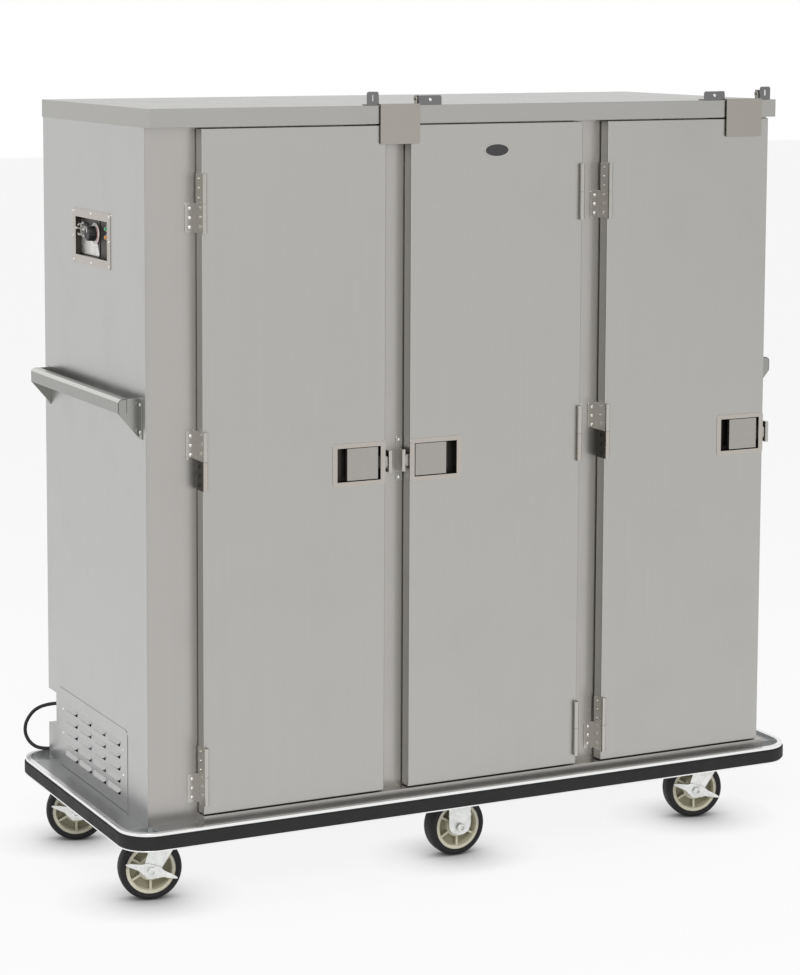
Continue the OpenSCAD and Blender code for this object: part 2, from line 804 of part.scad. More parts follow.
// Frame leaf with its knuckle and pin; upper is true where it has the hinge's upper half
module frame_leaf(z, upper) {
    half = hinge_l / 2;
    z0 = upper ? z + knuckle_gap / 2 : z - half;
    len = half - knuckle_gap / 2;
    pin_z = upper ? z0 - half + 6 : z0 + len;
    box([-27, stile_y - leaf_t, z0], [-seat_gap, stile_y, z0 + len]);
    box([-leaf_t, hinge_y, z0], [-seat_gap, stile_y, z0 + len]);
    translate([hinge_in, hinge_y, z0]) cylinder(r = barrel_r, h = len);
    translate([hinge_in, hinge_y, pin_z]) cylinder(r = hinge_pin_r, h = half - 6);
}

module leaf_screws(z, upper) {
    for (f = [0.09, 0.25, 0.41])
        head_y(-15, stile_y - leaf_t, z + (upper ? 1 : -1) * f * hinge_l);
}

// Door leaf with its bored knuckle; upper is true where the frame leaf has the upper half
module door_leaf(z, upper) {
    half = hinge_l / 2;
    z0 = upper ? z - half : z + knuckle_gap / 2;
    len = half - knuckle_gap / 2;
    difference() {
        union() {
            box([-leaf_t, hinge_y, z0], [0, stile_y - seal_gap - 3, z0 + len]);
            translate([hinge_in, hinge_y, z0]) cylinder(r = barrel_r, h = len);
        }
        translate([hinge_in, hinge_y, z0 - 1]) cylinder(r = hinge_pin_r + run_gap, h = len + 2);
    }
    for (f = [0.18, 0.5, 0.82]) head_x(-leaf_t, front_y + door_t / 2, z0 + f * len, -1);
}

// Keeper for door i on the frame beside its latch edge
module keeper(i) {
    latch_edge = hinge_side[i] > 0 ? door_x[i] + door_w : door_x[i];
    s = hinge_side[i];
    module across(a, b, y0, y1, z0, z1) {
        box([min(latch_edge + s * a, latch_edge + s * b), y0, z0],
            [max(latch_edge + s * a, latch_edge + s * b), y1, z1]);
    }
    tip = bolt_out + keeper_gap;
    foot = 8;
    end = tip + keeper_post;
    post_y = pivot_y - paddle_barrel_r;
    plate = keeper_plate_h / 2;
    half = keeper_h / 2;
    difference() {
        union() {
            across(tip - foot, end, stile_y - leaf_t, stile_y, latch_z - plate, latch_z + plate);
            across(tip, end, post_y, stile_y, latch_z - half, latch_z + half);
        }
        across(tip - 1, end - 2, post_y + 3, stile_y - leaf_t, latch_z - half + 3, latch_z + half - 3);
    }
}

module keeper_screws(i) {
    latch_edge = hinge_side[i] > 0 ? door_x[i] + door_w : door_x[i];
    for (sz = [-1, 1])
        head_y(latch_edge + hinge_side[i] * (bolt_out + keeper_gap + 1), stile_y - leaf_t,
            latch_z + sz * (keeper_plate_h / 2 - 8));
}

// ---------- doors ----------

// Door i, a hollow of folded sheet with the cut-outs for its latch and bolt
module door(i) {
    y0 = front_y;
    y1 = stile_y - seal_gap;
    s = door_skin;
    color(steel) door_place(i) difference() {
        box([0, y0, door_z], [door_w, y1, door_top]);
        box([s, y0 + s, door_z + s], [door_w - s, y1 - s, door_top - s]);
        latch_hollow(skin + seat_gap);
        box([door_w - bezel_rim - 3, pivot_y - 3, latch_z - bolt_h / 2 - 2],
            [door_w + 1, y0 + recess_d, latch_z + bolt_h / 2 + 2]);
    }
}

// Space of the latch recess, grown by extra on every inner side
module latch_hollow(extra) {
    x1 = door_w - bezel_rim;
    box([x1 - recess_w - extra, front_y - 2, latch_z - recess_h / 2 - extra],
        [x1 + extra, front_y + recess_d + extra, latch_z + recess_h / 2 + extra]);
}

// Hinge leaves, latch bezel and recess pan of door i
module door_hardware(i) {
    s = skin;
    color(bright_steel) door_place(i) {
        for (k = [0:2]) door_leaf(hinge_zs[k], k == 1);
        difference() {
            union() {
                box([door_w - bezel_w, front_y - bezel_t, latch_z - bezel_h / 2],
                    [door_w, front_y, latch_z + bezel_h / 2]);
                box([door_w - bezel_rim - recess_w - s, front_y - eps, latch_z - recess_h / 2 - s],
                    [door_w - bezel_rim + s, front_y + recess_d + s, latch_z + recess_h / 2 + s]);
            }
            latch_hollow(0);
            box([door_w - bezel_rim - 3, pivot_y - 3, latch_z - bolt_h / 2 - 2],
                [door_w + 1, front_y + recess_d + s + 1, latch_z + bolt_h / 2 + 2]);
        }
        translate([door_w - pivot_in, pivot_y, latch_z - recess_h / 2 - eps])
            cylinder(r = paddle_pin_r, h = recess_h + 2 * eps);
    }
}

// Paddle of door i with its barrel and bolt
module paddle(i) {
    half = recess_h / 2 - 2;
    x1 = door_w - pivot_in;
    y0 = pivot_y - paddle_barrel_r;
    color([0.7, 0.68, 0.66]) door_place(i) difference() {
        union() {
            box([x1 - paddle_w, y0, latch_z - half], [x1, y0 + paddle_t, latch_z + half]);
            box([x1 - paddle_w, y0, latch_z - half], [x1 - paddle_w + 2, y0 + 9, latch_z + half]);
            translate([x1, pivot_y, latch_z - half]) cylinder(r = paddle_barrel_r, h = 2 * half);
            box([x1, pivot_y - 1.5, latch_z - bolt_h / 2], [door_w + bolt_out, pivot_y + 1.5, latch_z + bolt_h / 2]);
        }
        translate([x1, pivot_y, latch_z - half - 1]) cylinder(r = paddle_pin_r + run_gap, h = 2 * half + 2);
    }
}

// ---------- transport latches ----------

// Hanging flap whose left edge is at x
module transport_flap(x) {
    t = flap_t;
    z_leg = top_z + flap_lift;
    color([0.66, 0.65, 0.62]) difference() {
        union() {
            box([x, flap_front - t, top_z - flap_drop], [x + flap_w, flap_front, z_leg + t]);
            box([x, flap_front - t, z_leg], [x + flap_w, flap_pivot_y, z_leg + t]);
            for (ex = [x, x + flap_w - t]) {
                translate([ex, flap_pivot_y, flap_pivot_z]) rotate([0, 90, 0]) cylinder(r = flap_ear_r, h = t);
                box([ex, flap_pivot_y - flap_ear_r, z_leg], [ex + t, flap_pivot_y, flap_pivot_z]);
            }
        }
        translate([x - 1, flap_pivot_y, flap_pivot_z]) rotate([0, 90, 0])
            cylinder(r = flap_pin_r + run_gap, h = flap_w + 2);
    }
}

module transport_brackets() {
    color(bright_steel) {
        flap_tab(flap_a_x, -1);
        flap_bracket(flap_a_x + flap_w, 1);
        flap_bracket(flap_b_x, -1);
        flap_tab(flap_b_x + flap_w, 1);
    }
}

// Pivot cheek and pin beside a flap's edge at x, on the side given
module pivot_cheek(x, side, h) {
    t = 2.5;
    a = x + side * 1;
    box([min(a, a + side * t), flap_pivot_y - 10, top_z], [max(a, a + side * t), flap_pivot_y + 10, top_z + h]);
    translate([x - side * (flap_t + 2), flap_pivot_y, flap_pivot_z])
        rotate([0, side * 90, 0]) cylinder(r = flap_pin_r, h = flap_t + 4);
}

// Upright slotted tab
module flap_tab(x, side) {
    w = 30;
    t = 2.5;
    y0 = front_y + tab_in;
    a = x + side * 1;
    b = a + side * w;
    pivot_cheek(x, side, flap_pivot_h + 10);
    difference() {
        box([min(a, b), y0, top_z], [max(a, b), y0 + t, top_z + tab_h]);
        box([(a + b) / 2 - 2, y0 - 1, top_z + 10], [(a + b) / 2 + 2, y0 + t + 1, top_z + 24]);
    }
    box([min(a, b), y0, top_z], [max(a, b), y0 + 26, top_z + t]);
}

// Long low bracket with a screw in its front
module flap_bracket(x, side) {
    w = 60;
    t = 2.5;
    h = tab_low;
    y0 = front_y + tab_in;
    a = x + side * 1;
    b = a + side * w;
    pivot_cheek(x, side, h);
    box([min(a, b), y0, top_z], [max(a, b), y0 + t, top_z + h]);
    box([min(a, b), y0, top_z], [max(a, b), y0 + 26, top_z + t]);
}

// ---------- casters ----------

// Puts its child at swivel caster i, turned to its resting angle
module caster_place(i) {
    translate([caster_at[i].x, caster_at[i].y, 0]) rotate([0, 0, caster_at[i].z]) children();
}

module swivel_plates() {
    color(zinc) for (i = [0:3]) translate([caster_at[i].x, caster_at[i].y, 0]) {
        difference() {
            translate([0, 0, plate_z - plate_t]) linear_extrude(plate_t) round_plan(caster_plate[0], caster_plate[1], caster_plate[2]);
            for (sx = [-1, 1], sy = [-1, 1]) translate([sx * 38, sy * 43, plate_z - plate_t - 1])
                cylinder(r = 4.5, h = plate_t + 2);
        }
        translate([0, 0, crown_z - 8]) cylinder(r = kingpin_r, h = plate_z - plate_t - crown_z + 8);
        translate([0, 0, crown_z - 8]) cylinder(r = 12, h = 8 - seat_gap);
    }
}

// Heads of the bolts that hold the caster plates
module caster_bolts() {
    for (x = [-kingpin_x, 0, kingpin_x], y = [-kingpin_y, kingpin_y], sx = [-1, 1], sy = [-1, 1])
        translate([x + sx * 38, y + sy * 43, plate_z - plate_t - 5]) cylinder(r = 6.5, h = 5, $fn = 6);
}

// Side outline of a fork's leg, with the axle at [-back, 0]: a wide plate with a blunt nose
module leg_outline(back) {
    top = crown_z + crown_t - axle_z;
    foot = back > 0 ? 22 : crown_half(back)[1];
    nose = 20;
    ends = crown_half(back);
    difference() {
        polygon([[-ends[0], top], [-back - foot, 2], [-back - foot + 6, -nose + 8], [-back - 9, -nose],
            [-back + 9, -nose], [-back + foot - 6, -nose + 8], [-back + foot, 2], [ends[1], top]]);
        translate([-back, 0]) circle(r = axle_r + run_gap);
    }
}

// How far a fork's crown reaches behind and before its middle
function crown_half(back) = back > 0 ? [42, 30] : [30, 30];

// Crown, legs and axle of a fork, with the axle back from the middle
module fork_body(back) {
    crown_w = 2 * (leg_in + leg_t);
    for (y = [-leg_in, leg_in + leg_t]) translate([0, y, axle_z]) rotate([90, 0, 0]) linear_extrude(leg_t)
        leg_outline(back);
    difference() {
        translate([-crown_half(back)[0], -crown_w / 2, crown_z])
            cube([crown_half(back)[0] + crown_half(back)[1], crown_w, crown_t]);
        translate([0, 0, crown_z - 1]) cylinder(r = kingpin_r + run_gap, h = crown_t + 2);
    }
}

module axle_bolt(back) {
    reach = leg_in + leg_t;
    translate([-back, 0, axle_z]) rotate([90, 0, 0]) {
        cylinder(r = axle_r, h = 2 * (reach + 7), center = true);
        translate([0, 0, reach + 4.3]) cylinder(r = 11, h = 7, $fn = 6);
        translate([0, 0, -reach - 8]) cylinder(r = 11, h = 8 - seat_gap, $fn = 6);
    }
}

module swivel_fork(i) {
    color(zinc) caster_place(i) {
        fork_body(trail);
        axle_bolt(trail);
        difference() {
            translate([0, 0, crown_z + crown_t]) cylinder(r = 37, h = plate_z - plate_t - crown_z - crown_t - 5 - seat_gap);
            translate([0, 0, crown_z]) cylinder(r = kingpin_r + run_gap, h = 30);
        }
        difference() {
            translate([0, 0, plate_z - plate_t - 5 - seat_gap - eps]) cylinder(r = 30, h = 5 + eps);
            translate([0, 0, crown_z]) cylinder(r = kingpin_r + run_gap, h = 30);
        }
    }
}

module rigid_forks() {
    color(zinc) for (s = [-1, 1]) translate([0, s * kingpin_y, 0]) {
        translate([0, 0, plate_z - plate_t]) linear_extrude(plate_t) round_plan(caster_plate[0], caster_plate[1], caster_plate[2]);
        fork_body(0);
        axle_bolt(0);
        translate([0, 0, crown_z + crown_t]) cylinder(r = 22, h = plate_z - plate_t - crown_z - crown_t);
    }
}

module brake(i) {
    y0 = -leg_in - leg_t - 3.7;
    reach = brake_l / 2 - 8;
    color(zinc) caster_place(i) translate([-trail, y0, axle_z]) rotate([90, brake_tilt, 0])
        translate([0, 0, -3]) difference() {
            linear_extrude(3) polygon([[-reach, 4], [-28, 9], [-17, 15], [17, 15], [28, 9], [reach, 4], [reach + 8, 1],
                    [reach + 8, -2], [reach, -4], [28, -7], [17, -14], [-17, -14], [-28, -7], [-reach, -4],
                    [-reach - 8, -2], [-reach - 8, 1]]);
            translate([0, 0, -1]) cylinder(r = axle_r + run_gap, h = 5);
        }
}

module hub() {
    rim_w = tread_w - 4;
    boss_w = 2 * leg_in - 1.2;
    spokes = 6;
    ring_r = 28;
    color(cream) rotate([90, 0, 0]) difference() {
        union() {
            difference() {
                cylinder(r = hub_r, h = rim_w, center = true, $fn = 72);
                cylinder(r = hub_r - 9, h = rim_w + 2, center = true, $fn = 72);
            }
            cylinder(r = hub_r - 8, h = 6, center = true);
            cylinder(r = 17, h = boss_w, center = true);
            cylinder(r = ring_r, h = rim_w - 8, center = true);
            for (k = [0:spokes - 1]) rotate([0, 0, 30 + k * 360 / spokes])
                translate([12, -3.5, -rim_w / 2 + 5]) cube([hub_r - 18, 7, rim_w - 10]);
        }
        cylinder(r = axle_r + run_gap, h = boss_w + 2, center = true);
    }
}

module tyre() {
    h = tread_w / 2;
    c = 5;
    color(rubber) rotate([90, 0, 0]) rotate_extrude($fn = 96)
        polygon([[hub_r, -h + 1], [wheel_r - 9, -h], [wheel_r - c, -h + 2], [wheel_r - 1, -h + c], [wheel_r, -h + 9],
            [wheel_r, h - 9], [wheel_r - 1, h - c], [wheel_r - c, h - 2], [wheel_r - 9, h], [hub_r, h - 1]]);
}

// Puts its child at the axle of swivel caster i
module axle_place(i) {
    caster_place(i) translate([-trail, 0, axle_z]) children();
}

module middle_place(s) {
    translate([0, s * kingpin_y, axle_z]) children();
}

// ---------- power cord ----------

cord_r = cord_d / 2;
gland_l = 20;
gland_x = -side_x + 27;
gland_z = notch_z0 + 43;
cord_rest = deck_h + 0.4 + cord_r;               // centre of a cord that lies on the deck
tie_t = 0.8;
hank_y = back_y + tie_t + 2 * seat_gap + cord_r; // first layer's centre, against the back panel
hank_x = -640;                                   // middle of the hank
hank_turns = 2;                                  // turns in each layer
hank_outer = hank_fold + hank_turns * hank_pitch;
hank_z = cord_rest + hank_outer;

// Route of the cord from its gland, around the loop and along the deck to the hank
cord_route = [[-812, 318, 325], [-812, 334, 325], [-812, 352, 325], [-816, 372, 322], [-830, 391, 316],
    [-845, 403, 309], [-859, 410, 299], [-870, 413, 286], [-879, 413, 271], [-883, 411, 256], [-883, 407, 242],
    [-879, 400, 229], [-872, 392, 219], [-862, 384, 212], [-850, 377, 209], [-837, 371, 208],
    [-820, 366, 207], [-800, 362.5, 205], [-780, 360.5, 202.5], [-762, 359.5, 201.2],
    [hank_x - hank_run / 2 - 25, hank_y, cord_rest], [hank_x - hank_run / 2 - 12, hank_y, cord_rest],
    [hank_x - hank_run / 2, hank_y, cord_rest]];

function smooth(t) = t * t * (3 - 2 * t);
function lerp(a, b, t) = a + (b - a) * t;

// Point of a closed spline's piece through four points
function spline_at(p0, p1, p2, p3, t) =
    0.5 * (2 * p1 + (p2 - p0) * t + (2 * p0 - 5 * p1 + 4 * p2 - p3) * t * t
        + (3 * p1 - p0 - 3 * p2 + p3) * t * t * t);

function spline(p, steps) = [for (i = [0:len(p) - 2], k = [0:steps - 1])
    spline_at(p[max(i - 1, 0)], p[i], p[i + 1], p[min(i + 2, len(p) - 1)], k / steps), p[len(p) - 1]];

function unit(v) = v / norm(v);
function direction(p, i) = unit(p[min(i + 1, len(p) - 1)] - p[max(i - 1, 0)]);

// Ring of points round point i of path p, square to the path
function ring(p, i, r, sides) =
    let (d = direction(p, i), u = unit(cross(d, abs(d.y) > 0.9 ? [1, 0, 0] : [0, 1, 0])), v = cross(d, u))
    [for (k = [0:sides - 1]) p[i] + r * (cos(k * 360 / sides) * u + sin(k * 360 / sides) * v)];

// Tube of radius r along path p, closed at both ends
module tube(p, r, sides) {
    n = len(p);
    points = [for (i = [0:n - 1]) each ring(p, i, r, sides)];
    walls = [for (i = [0:n - 2], k = [0:sides - 1]) let (a = i * sides + k, b = i * sides + (k + 1) % sides)
        each [[a, b, b + sides], [a, b + sides, a + sides]]];
    first = [for (k = [1:sides - 2]) [0, k + 1, k]];
    last = [for (k = [1:sides - 2]) [(n - 1) * sides, (n - 1) * sides + k, (n - 1) * sides + k + 1]];
    polyhedron(points = points, faces = concat(walls, first, last));
}

// The hank stands on its edge: runs along X, folds at both ends, drawn in at the waist.
// A turn is a lower run, the right fold, an upper run and the left fold, six steps each.
hank_steps = 6;
waist = 12;
hank_quarters = 8 * hank_turns + 1;

// Half height of the hank's loop after q quarters of a turn: in, level while it climbs, and out
function hank_half(q) =
    let (turn = hank_turns * 4)
    q < turn ? hank_outer - hank_pitch * q / 4
    : q < turn + 1 ? hank_fold
    : hank_fold + hank_pitch * (q - turn - 1) / 4;

function hank_layer(q) =
    let (turn = hank_turns * 4) hank_y + hank_pitch * (q < turn ? 0 : q < turn + 1 ? smooth(q - turn) : 1);

function path_length(p) =
    let (steps = [for (i = [1:len(p) - 1]) norm(p[i] - p[i - 1])]) steps * [for (s = steps) 1];

function hank_point(q) =
    let (part = floor(q) % 4, t = q - floor(q), h = hank_half(q), y = hank_layer(q), l = hank_run / 2,
        pinch = waist * pow(sin(180 * t), 2))
    part == 0 ? [hank_x + lerp(-l, l, t), y, hank_z - h + pinch]
    : part == 1 ? [hank_x + l + h * sin(180 * t), y, hank_z - h * cos(180 * t)]
    : part == 2 ? [hank_x + lerp(l, -l, t), y, hank_z + h - pinch]
    : [hank_x - l - h * sin(180 * t), y, hank_z + h * cos(180 * t)];

// The last turn runs on straight, past the folds, to the plug
lead_rings = 4;
hank_lead = hank_outer + 12;
hank_end = hank_point(hank_quarters) + [hank_lead, 0, 0];

hank_path = [for (i = [0:hank_quarters * hank_steps]) hank_point(i / hank_steps),
    for (i = [1:lead_rings]) hank_end - [hank_lead * (1 - i / lead_rings), 0, 0]];
hank_fine = [for (i = [0:hank_quarters * 16]) hank_point(i / 16),
    for (i = [1:12]) hank_end - [hank_lead * (1 - i / 12), 0, 0]];
hank_length = path_length(hank_fine);
hank_gap = min([for (i = [0:len(hank_fine) - 41], j = [i + 40:len(hank_fine) - 1])
    norm(hank_fine[i] - hank_fine[j])]) - cord_d;
echo(least_gap_of_hank = hank_gap);
echo(length_of_hank = hank_length);
echo(length_of_free_cord = path_length(spline(cord_route, 2)));

module power_cord() {
    color(rubber) tube(spline(cord_route, 2), cord_r, 10);
}

module cord_hank() {
    color(rubber) tube(hank_path, cord_r, 6);
}

// Gland where the cord leaves the cabinet, plug at its other end and tie round the hank's waist
module cord_fittings() {
    color(rubber) translate([gland_x, back_y - notch_d, gland_z]) rotate([-90, 0, 0]) {
        cylinder(r = 12, h = 5);
        cylinder(r = 8, h = gland_l);
    }
    end = hank_end;
    z0 = deck_h + 0.4;
    body_l = 42;
    boss_l = 16;
    color(rubber) {
        difference() {
            translate([end.x, end.y, end.z]) rotate([0, 90, 0]) cylinder(r = 7, h = boss_l);
            box([end.x - 1, end.y - 10, z0 - 10], [end.x + boss_l + 1, end.y + 10, z0]);
        }
        box([end.x + boss_l, end.y - 11, z0], [end.x + boss_l + body_l, end.y + 7.5, z0 + 20]);
    }
    color([0.8, 0.7, 0.4]) {
        for (dz = [6, 13]) box([end.x + boss_l + body_l, end.y - 7, z0 + dz], [end.x + boss_l + body_l + 18, end.y - 1, z0 + dz + 1.6]);
        translate([end.x + boss_l + body_l, end.y + 3.5, z0 + 10]) rotate([0, 90, 0]) cylinder(r = 2.4, h = 20);
    }
    half = hank_outer - waist + cord_r + seat_gap;
    y0 = hank_y - cord_r - seat_gap;
    y1 = hank_y + hank_pitch + cord_r + seat_gap;
    color([0.2, 0.2, 0.2]) difference() {
        box([hank_x - 7, y0 - tie_t, hank_z - half - tie_t], [hank_x + 7, y1 + tie_t, hank_z + half + tie_t]);
        box([hank_x - 8, y0, hank_z - half], [hank_x + 8, y1, hank_z + half]);
    }
}

// ---------- nodes ----------

chassis_frame();
bumper_rail();
bumper_rubber();
deck_channels();
left_side_panel();
right_side_panel();
back_panel();
face_frame();
top_cap();
bay_liners();
tray_racks();
door_gaskets();
louvre_panel();
heater_element();
blower_housing();
control_pan();
pilot_lamps();
side_handles();
frame_hardware();
fasteners();
swivel_plates();
rigid_forks();
cord_recess();
power_cord();
cord_hank();
cord_fittings();
door(0);  // door_left
door(1);  // door_middle
door(2);  // door_right
door_hardware(0);  // door_left_hardware
door_hardware(1);  // door_middle_hardware
door_hardware(2);  // door_right_hardware
paddle(0);  // paddle_left
paddle(1);  // paddle_middle
paddle(2);  // paddle_right
transport_flap(flap_a_x);  // transport_flap_left
transport_flap(flap_b_x);  // transport_flap_right
thermostat_knob();
power_switch();
blower_wheel();
swivel_fork(0);  // fork_front_left
swivel_fork(1);  // fork_front_right
swivel_fork(2);  // fork_rear_left
swivel_fork(3);  // fork_rear_right
brake(0);  // brake_front_left
brake(1);  // brake_front_right
brake(2);  // brake_rear_left
brake(3);  // brake_rear_right
axle_place(0) hub();  // hub_front_left
axle_place(1) hub();  // hub_front_right
axle_place(2) hub();  // hub_rear_left
axle_place(3) hub();  // hub_rear_right
middle_place(-1) hub();  // hub_middle_front
middle_place(1) hub();  // hub_middle_rear
axle_place(0) tyre();  // tyre_front_left
axle_place(1) tyre();  // tyre_front_right
axle_place(2) tyre();  // tyre_rear_left
axle_place(3) tyre();  // tyre_rear_right
middle_place(-1) tyre();  // tyre_middle_front
middle_place(1) tyre();  // tyre_middle_rear
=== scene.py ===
"""Looks of the enclosed meal tray cart: sheet steel, casters, latches, controls and cord."""
import json
import math

import bmesh
import bpy
from mathutils import Matrix, Vector

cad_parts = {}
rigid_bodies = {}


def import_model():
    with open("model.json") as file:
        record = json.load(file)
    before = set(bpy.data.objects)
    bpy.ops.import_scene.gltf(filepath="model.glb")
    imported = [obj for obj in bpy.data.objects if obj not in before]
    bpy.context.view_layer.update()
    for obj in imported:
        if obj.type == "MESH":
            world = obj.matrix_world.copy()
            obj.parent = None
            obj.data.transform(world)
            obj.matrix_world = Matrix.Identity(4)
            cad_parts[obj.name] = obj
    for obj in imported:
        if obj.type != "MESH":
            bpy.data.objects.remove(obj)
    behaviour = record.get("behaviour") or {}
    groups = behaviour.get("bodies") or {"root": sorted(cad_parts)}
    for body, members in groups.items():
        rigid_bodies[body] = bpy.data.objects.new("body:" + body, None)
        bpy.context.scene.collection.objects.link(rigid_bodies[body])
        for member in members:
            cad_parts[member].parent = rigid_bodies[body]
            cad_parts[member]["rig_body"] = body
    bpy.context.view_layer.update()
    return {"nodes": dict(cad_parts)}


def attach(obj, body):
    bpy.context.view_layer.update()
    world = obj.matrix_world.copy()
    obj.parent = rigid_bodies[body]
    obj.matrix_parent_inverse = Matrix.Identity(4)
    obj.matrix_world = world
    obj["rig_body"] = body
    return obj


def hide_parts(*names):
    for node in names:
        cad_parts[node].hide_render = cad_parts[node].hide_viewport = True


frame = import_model()
MM = 0.001


# ---------- camera ----------

def set_camera():
    """The photograph's standpoint: left of the cart's front, a little above its top."""
    camera = bpy.data.objects.new("camera", bpy.data.cameras.new("camera"))
    bpy.context.scene.collection.objects.link(camera)
    yaw, pitch, roll = math.radians(25.62), math.radians(-6.19), math.radians(0.085)
    turn = Matrix.Rotation(-yaw, 4, "Z") @ Matrix.Rotation(math.pi / 2 + pitch, 4, "X")
    camera.matrix_world = Matrix.Translation((-3.0418, -5.8793, 2.0684)) @ turn @ Matrix.Rotation(roll, 4, "Z")
    camera.data.lens = 98.2
    camera.data.sensor_width = 36
    camera.data.shift_x = 0.0718
    camera.data.shift_y = -0.1923
    camera.data.clip_end = 60
    bpy.context.scene.camera = camera


set_camera()


# ---------- shader maths ----------

class Field:
    """A value that varies over a surface. Python's operators on it add Math nodes."""

    def __init__(self, tree, socket):
        self.tree, self.socket = tree, socket

    def math(self, operation, *values):
        node = self.tree.nodes.new("ShaderNodeMath")
        node.operation = operation
        for socket, value in zip(node.inputs, values):
            feed(self.tree, socket, value)
        return Field(self.tree, node.outputs[0])

    def __add__(self, other): return self.math("ADD", self, other)
    def __radd__(self, other): return self.math("ADD", other, self)
    def __sub__(self, other): return self.math("SUBTRACT", self, other)
    def __rsub__(self, other): return self.math("SUBTRACT", other, self)
    def __mul__(self, other): return self.math("MULTIPLY", self, other)
    def __rmul__(self, other): return self.math("MULTIPLY", other, self)
    def __truediv__(self, other): return self.math("DIVIDE", self, other)


def feed(tree, socket, value):
    """Sets a socket to a number or a colour, or links it to a field."""
    if isinstance(value, Field):
        tree.links.new(value.socket, socket)
    elif isinstance(value, (tuple, list)) and socket.type == "RGBA" and len(value) == 3:
        socket.default_value = (*value, 1)
    else:
        socket.default_value = value


class Finish:
    """One material and the few kinds of texture that the cart's finishes are made from."""

    def __init__(self, name):
        self.material = bpy.data.materials.new(name)
        self.material.use_nodes = True
        self.tree = self.material.node_tree
        self.shader = self.tree.nodes["Principled BSDF"]
        self.place = self.node("TexCoord", output="Object")

    def node(self, kind, settings=None, sockets=None, output=0):
        node = self.tree.nodes.new("ShaderNode" + kind)
        for key, value in (settings or {}).items():
            setattr(node, key, value)
        for key, value in (sockets or {}).items():
            feed(self.tree, node.inputs[key], value)
        return Field(self.tree, node.outputs[output])

    def noise(self, scale, stretch=(1, 1, 1), detail=3, roughness=0.55):
        place = self.node("Mapping", {}, {"Vector": self.place, "Scale": stretch})
        return self.node("TexNoise", {}, {"Vector": place, "Scale": scale, "Detail": detail,
                                          "Roughness": roughness})

    def between(self, mask, low, high):
        """low where the mask is 0 and high where it is 1, for colours."""
        return self.node("Mix", {"data_type": "RGBA"}, {0: mask, 6: low, 7: high}, output=2)

    def step(self, mask, low, high):
        """0 below low and 1 above high, with a straight slope between them."""
        return self.node("MapRange", {}, {0: mask, 1: low, 2: high})

    def bump(self, height, distance, strength=1.0):
        return self.node("Bump", {}, {"Height": height, "Distance": distance, "Strength": strength})

    def set(self, **values):
        names = {"colour": "Base Color", "rough": "Roughness", "metal": "Metallic", "normal": "Normal",
                 "coat": "Coat Weight", "glow": "Emission Color", "glow_power": "Emission Strength"}
        for key, value in values.items():
            feed(self.tree, self.shader.inputs[names[key]], value)
        return self.material


def tinted(colour, factor):
    return tuple(min(1, c * factor) for c in colour)


def brushed(name, colour, grain="z", rough=0.3):
    """Sheet steel with fine brush lines along one axis, faint stains and handling marks."""
    f = Finish(name)
    along = {"x": (0.012, 1, 1), "y": (1, 0.012, 1), "z": (1, 1, 0.012)}[grain]
    lines = f.noise(900, along, 2, 0.7)
    bands = f.noise(90, along, 3, 0.6)
    sheet = f.noise(1.6, detail=2)
    stains = f.step(f.noise(7, detail=5), 0.5, 0.78)
    scratch = f.step(f.noise(160, tuple(0.5 * a + 0.02 for a in along), 1), 0.735, 0.75)
    shade = f.between(bands, tinted(colour, 0.975), tinted(colour, 1.025))
    shade = f.between(stains * 0.16, shade, tinted(colour, 0.93))
    shade = f.between(scratch * 0.14, shade, tinted(colour, 1.15))
    roughness = rough + 0.08 * lines + 0.05 * bands + 0.06 * stains - 0.07
    height = lines * 0.45 + bands * 0.2 + sheet * 16
    return f.set(colour=shade, rough=roughness, metal=1.0, normal=f.bump(height, 0.00012))


def plated(name, colour, rough=0.3):
    """Zinc plate on pressed steel: fine spangle and dull patches."""
    f = Finish(name)
    spangle = f.node("TexVoronoi", {}, {"Vector": f.place, "Scale": 170}, output="Color")
    spangle = f.node("SeparateColor", {}, {0: spangle})
    dull = f.step(f.noise(26, detail=4), 0.42, 0.72)
    shade = f.between(spangle, tinted(colour, 0.92), tinted(colour, 1.06))
    shade = f.between(dull * 0.4, shade, (0.56, 0.56, 0.52))
    pits = f.noise(420, detail=2)
    return f.set(colour=shade, rough=rough + 0.2 * dull + 0.08 * spangle, metal=0.85,
                 normal=f.bump(pits, 0.00008))


def moulded(name, colour, rough=0.45, grime=(0.3, 0.28, 0.2), grime_part=0.35, grain=500):
    """Moulded plastic or rubber with a fine grain, scuffs and dust."""
    f = Finish(name)
    fine = f.noise(grain, detail=2)
    cloud = f.step(f.noise(18, detail=5), 0.45, 0.75)
    shade = f.between(fine, tinted(colour, 0.93), tinted(colour, 1.07))
    shade = f.between(cloud * grime_part, shade, grime)
    return f.set(colour=shade, rough=rough + 0.15 * cloud + 0.06 * fine, normal=f.bump(fine, 0.00009))


door_steel = brushed("door_steel", (0.47, 0.465, 0.445), "z", 0.33)
side_steel = brushed("side_steel", (0.52, 0.52, 0.515), "z", 0.33)
frame_steel = brushed("frame_steel", (0.46, 0.445, 0.425), "z", 0.32)
cap_steel = brushed("cap_steel", (0.43, 0.425, 0.405), "x", 0.3)
deck_steel = brushed("deck_steel", (0.4, 0.405, 0.41), "x", 0.38)
flap_steel = brushed("flap_steel", (0.4, 0.38, 0.345), "x", 0.34)
hinge_steel = brushed("hinge_steel", (0.5, 0.485, 0.455), "z", 0.2)
latch_steel = brushed("latch_steel", (0.5, 0.465, 0.43), "x", 0.25)
paddle_steel = brushed("paddle_steel", (0.4, 0.385, 0.36), "x", 0.28)
# near-black steel for recess walls: painted shade inside the latch and control recesses
painted_shade_steel = brushed("painted_shade_steel", (0.07, 0.066, 0.06), "x", 0.4)
handle_steel = brushed("handle_steel", (0.34, 0.34, 0.325), "y", 0.24)
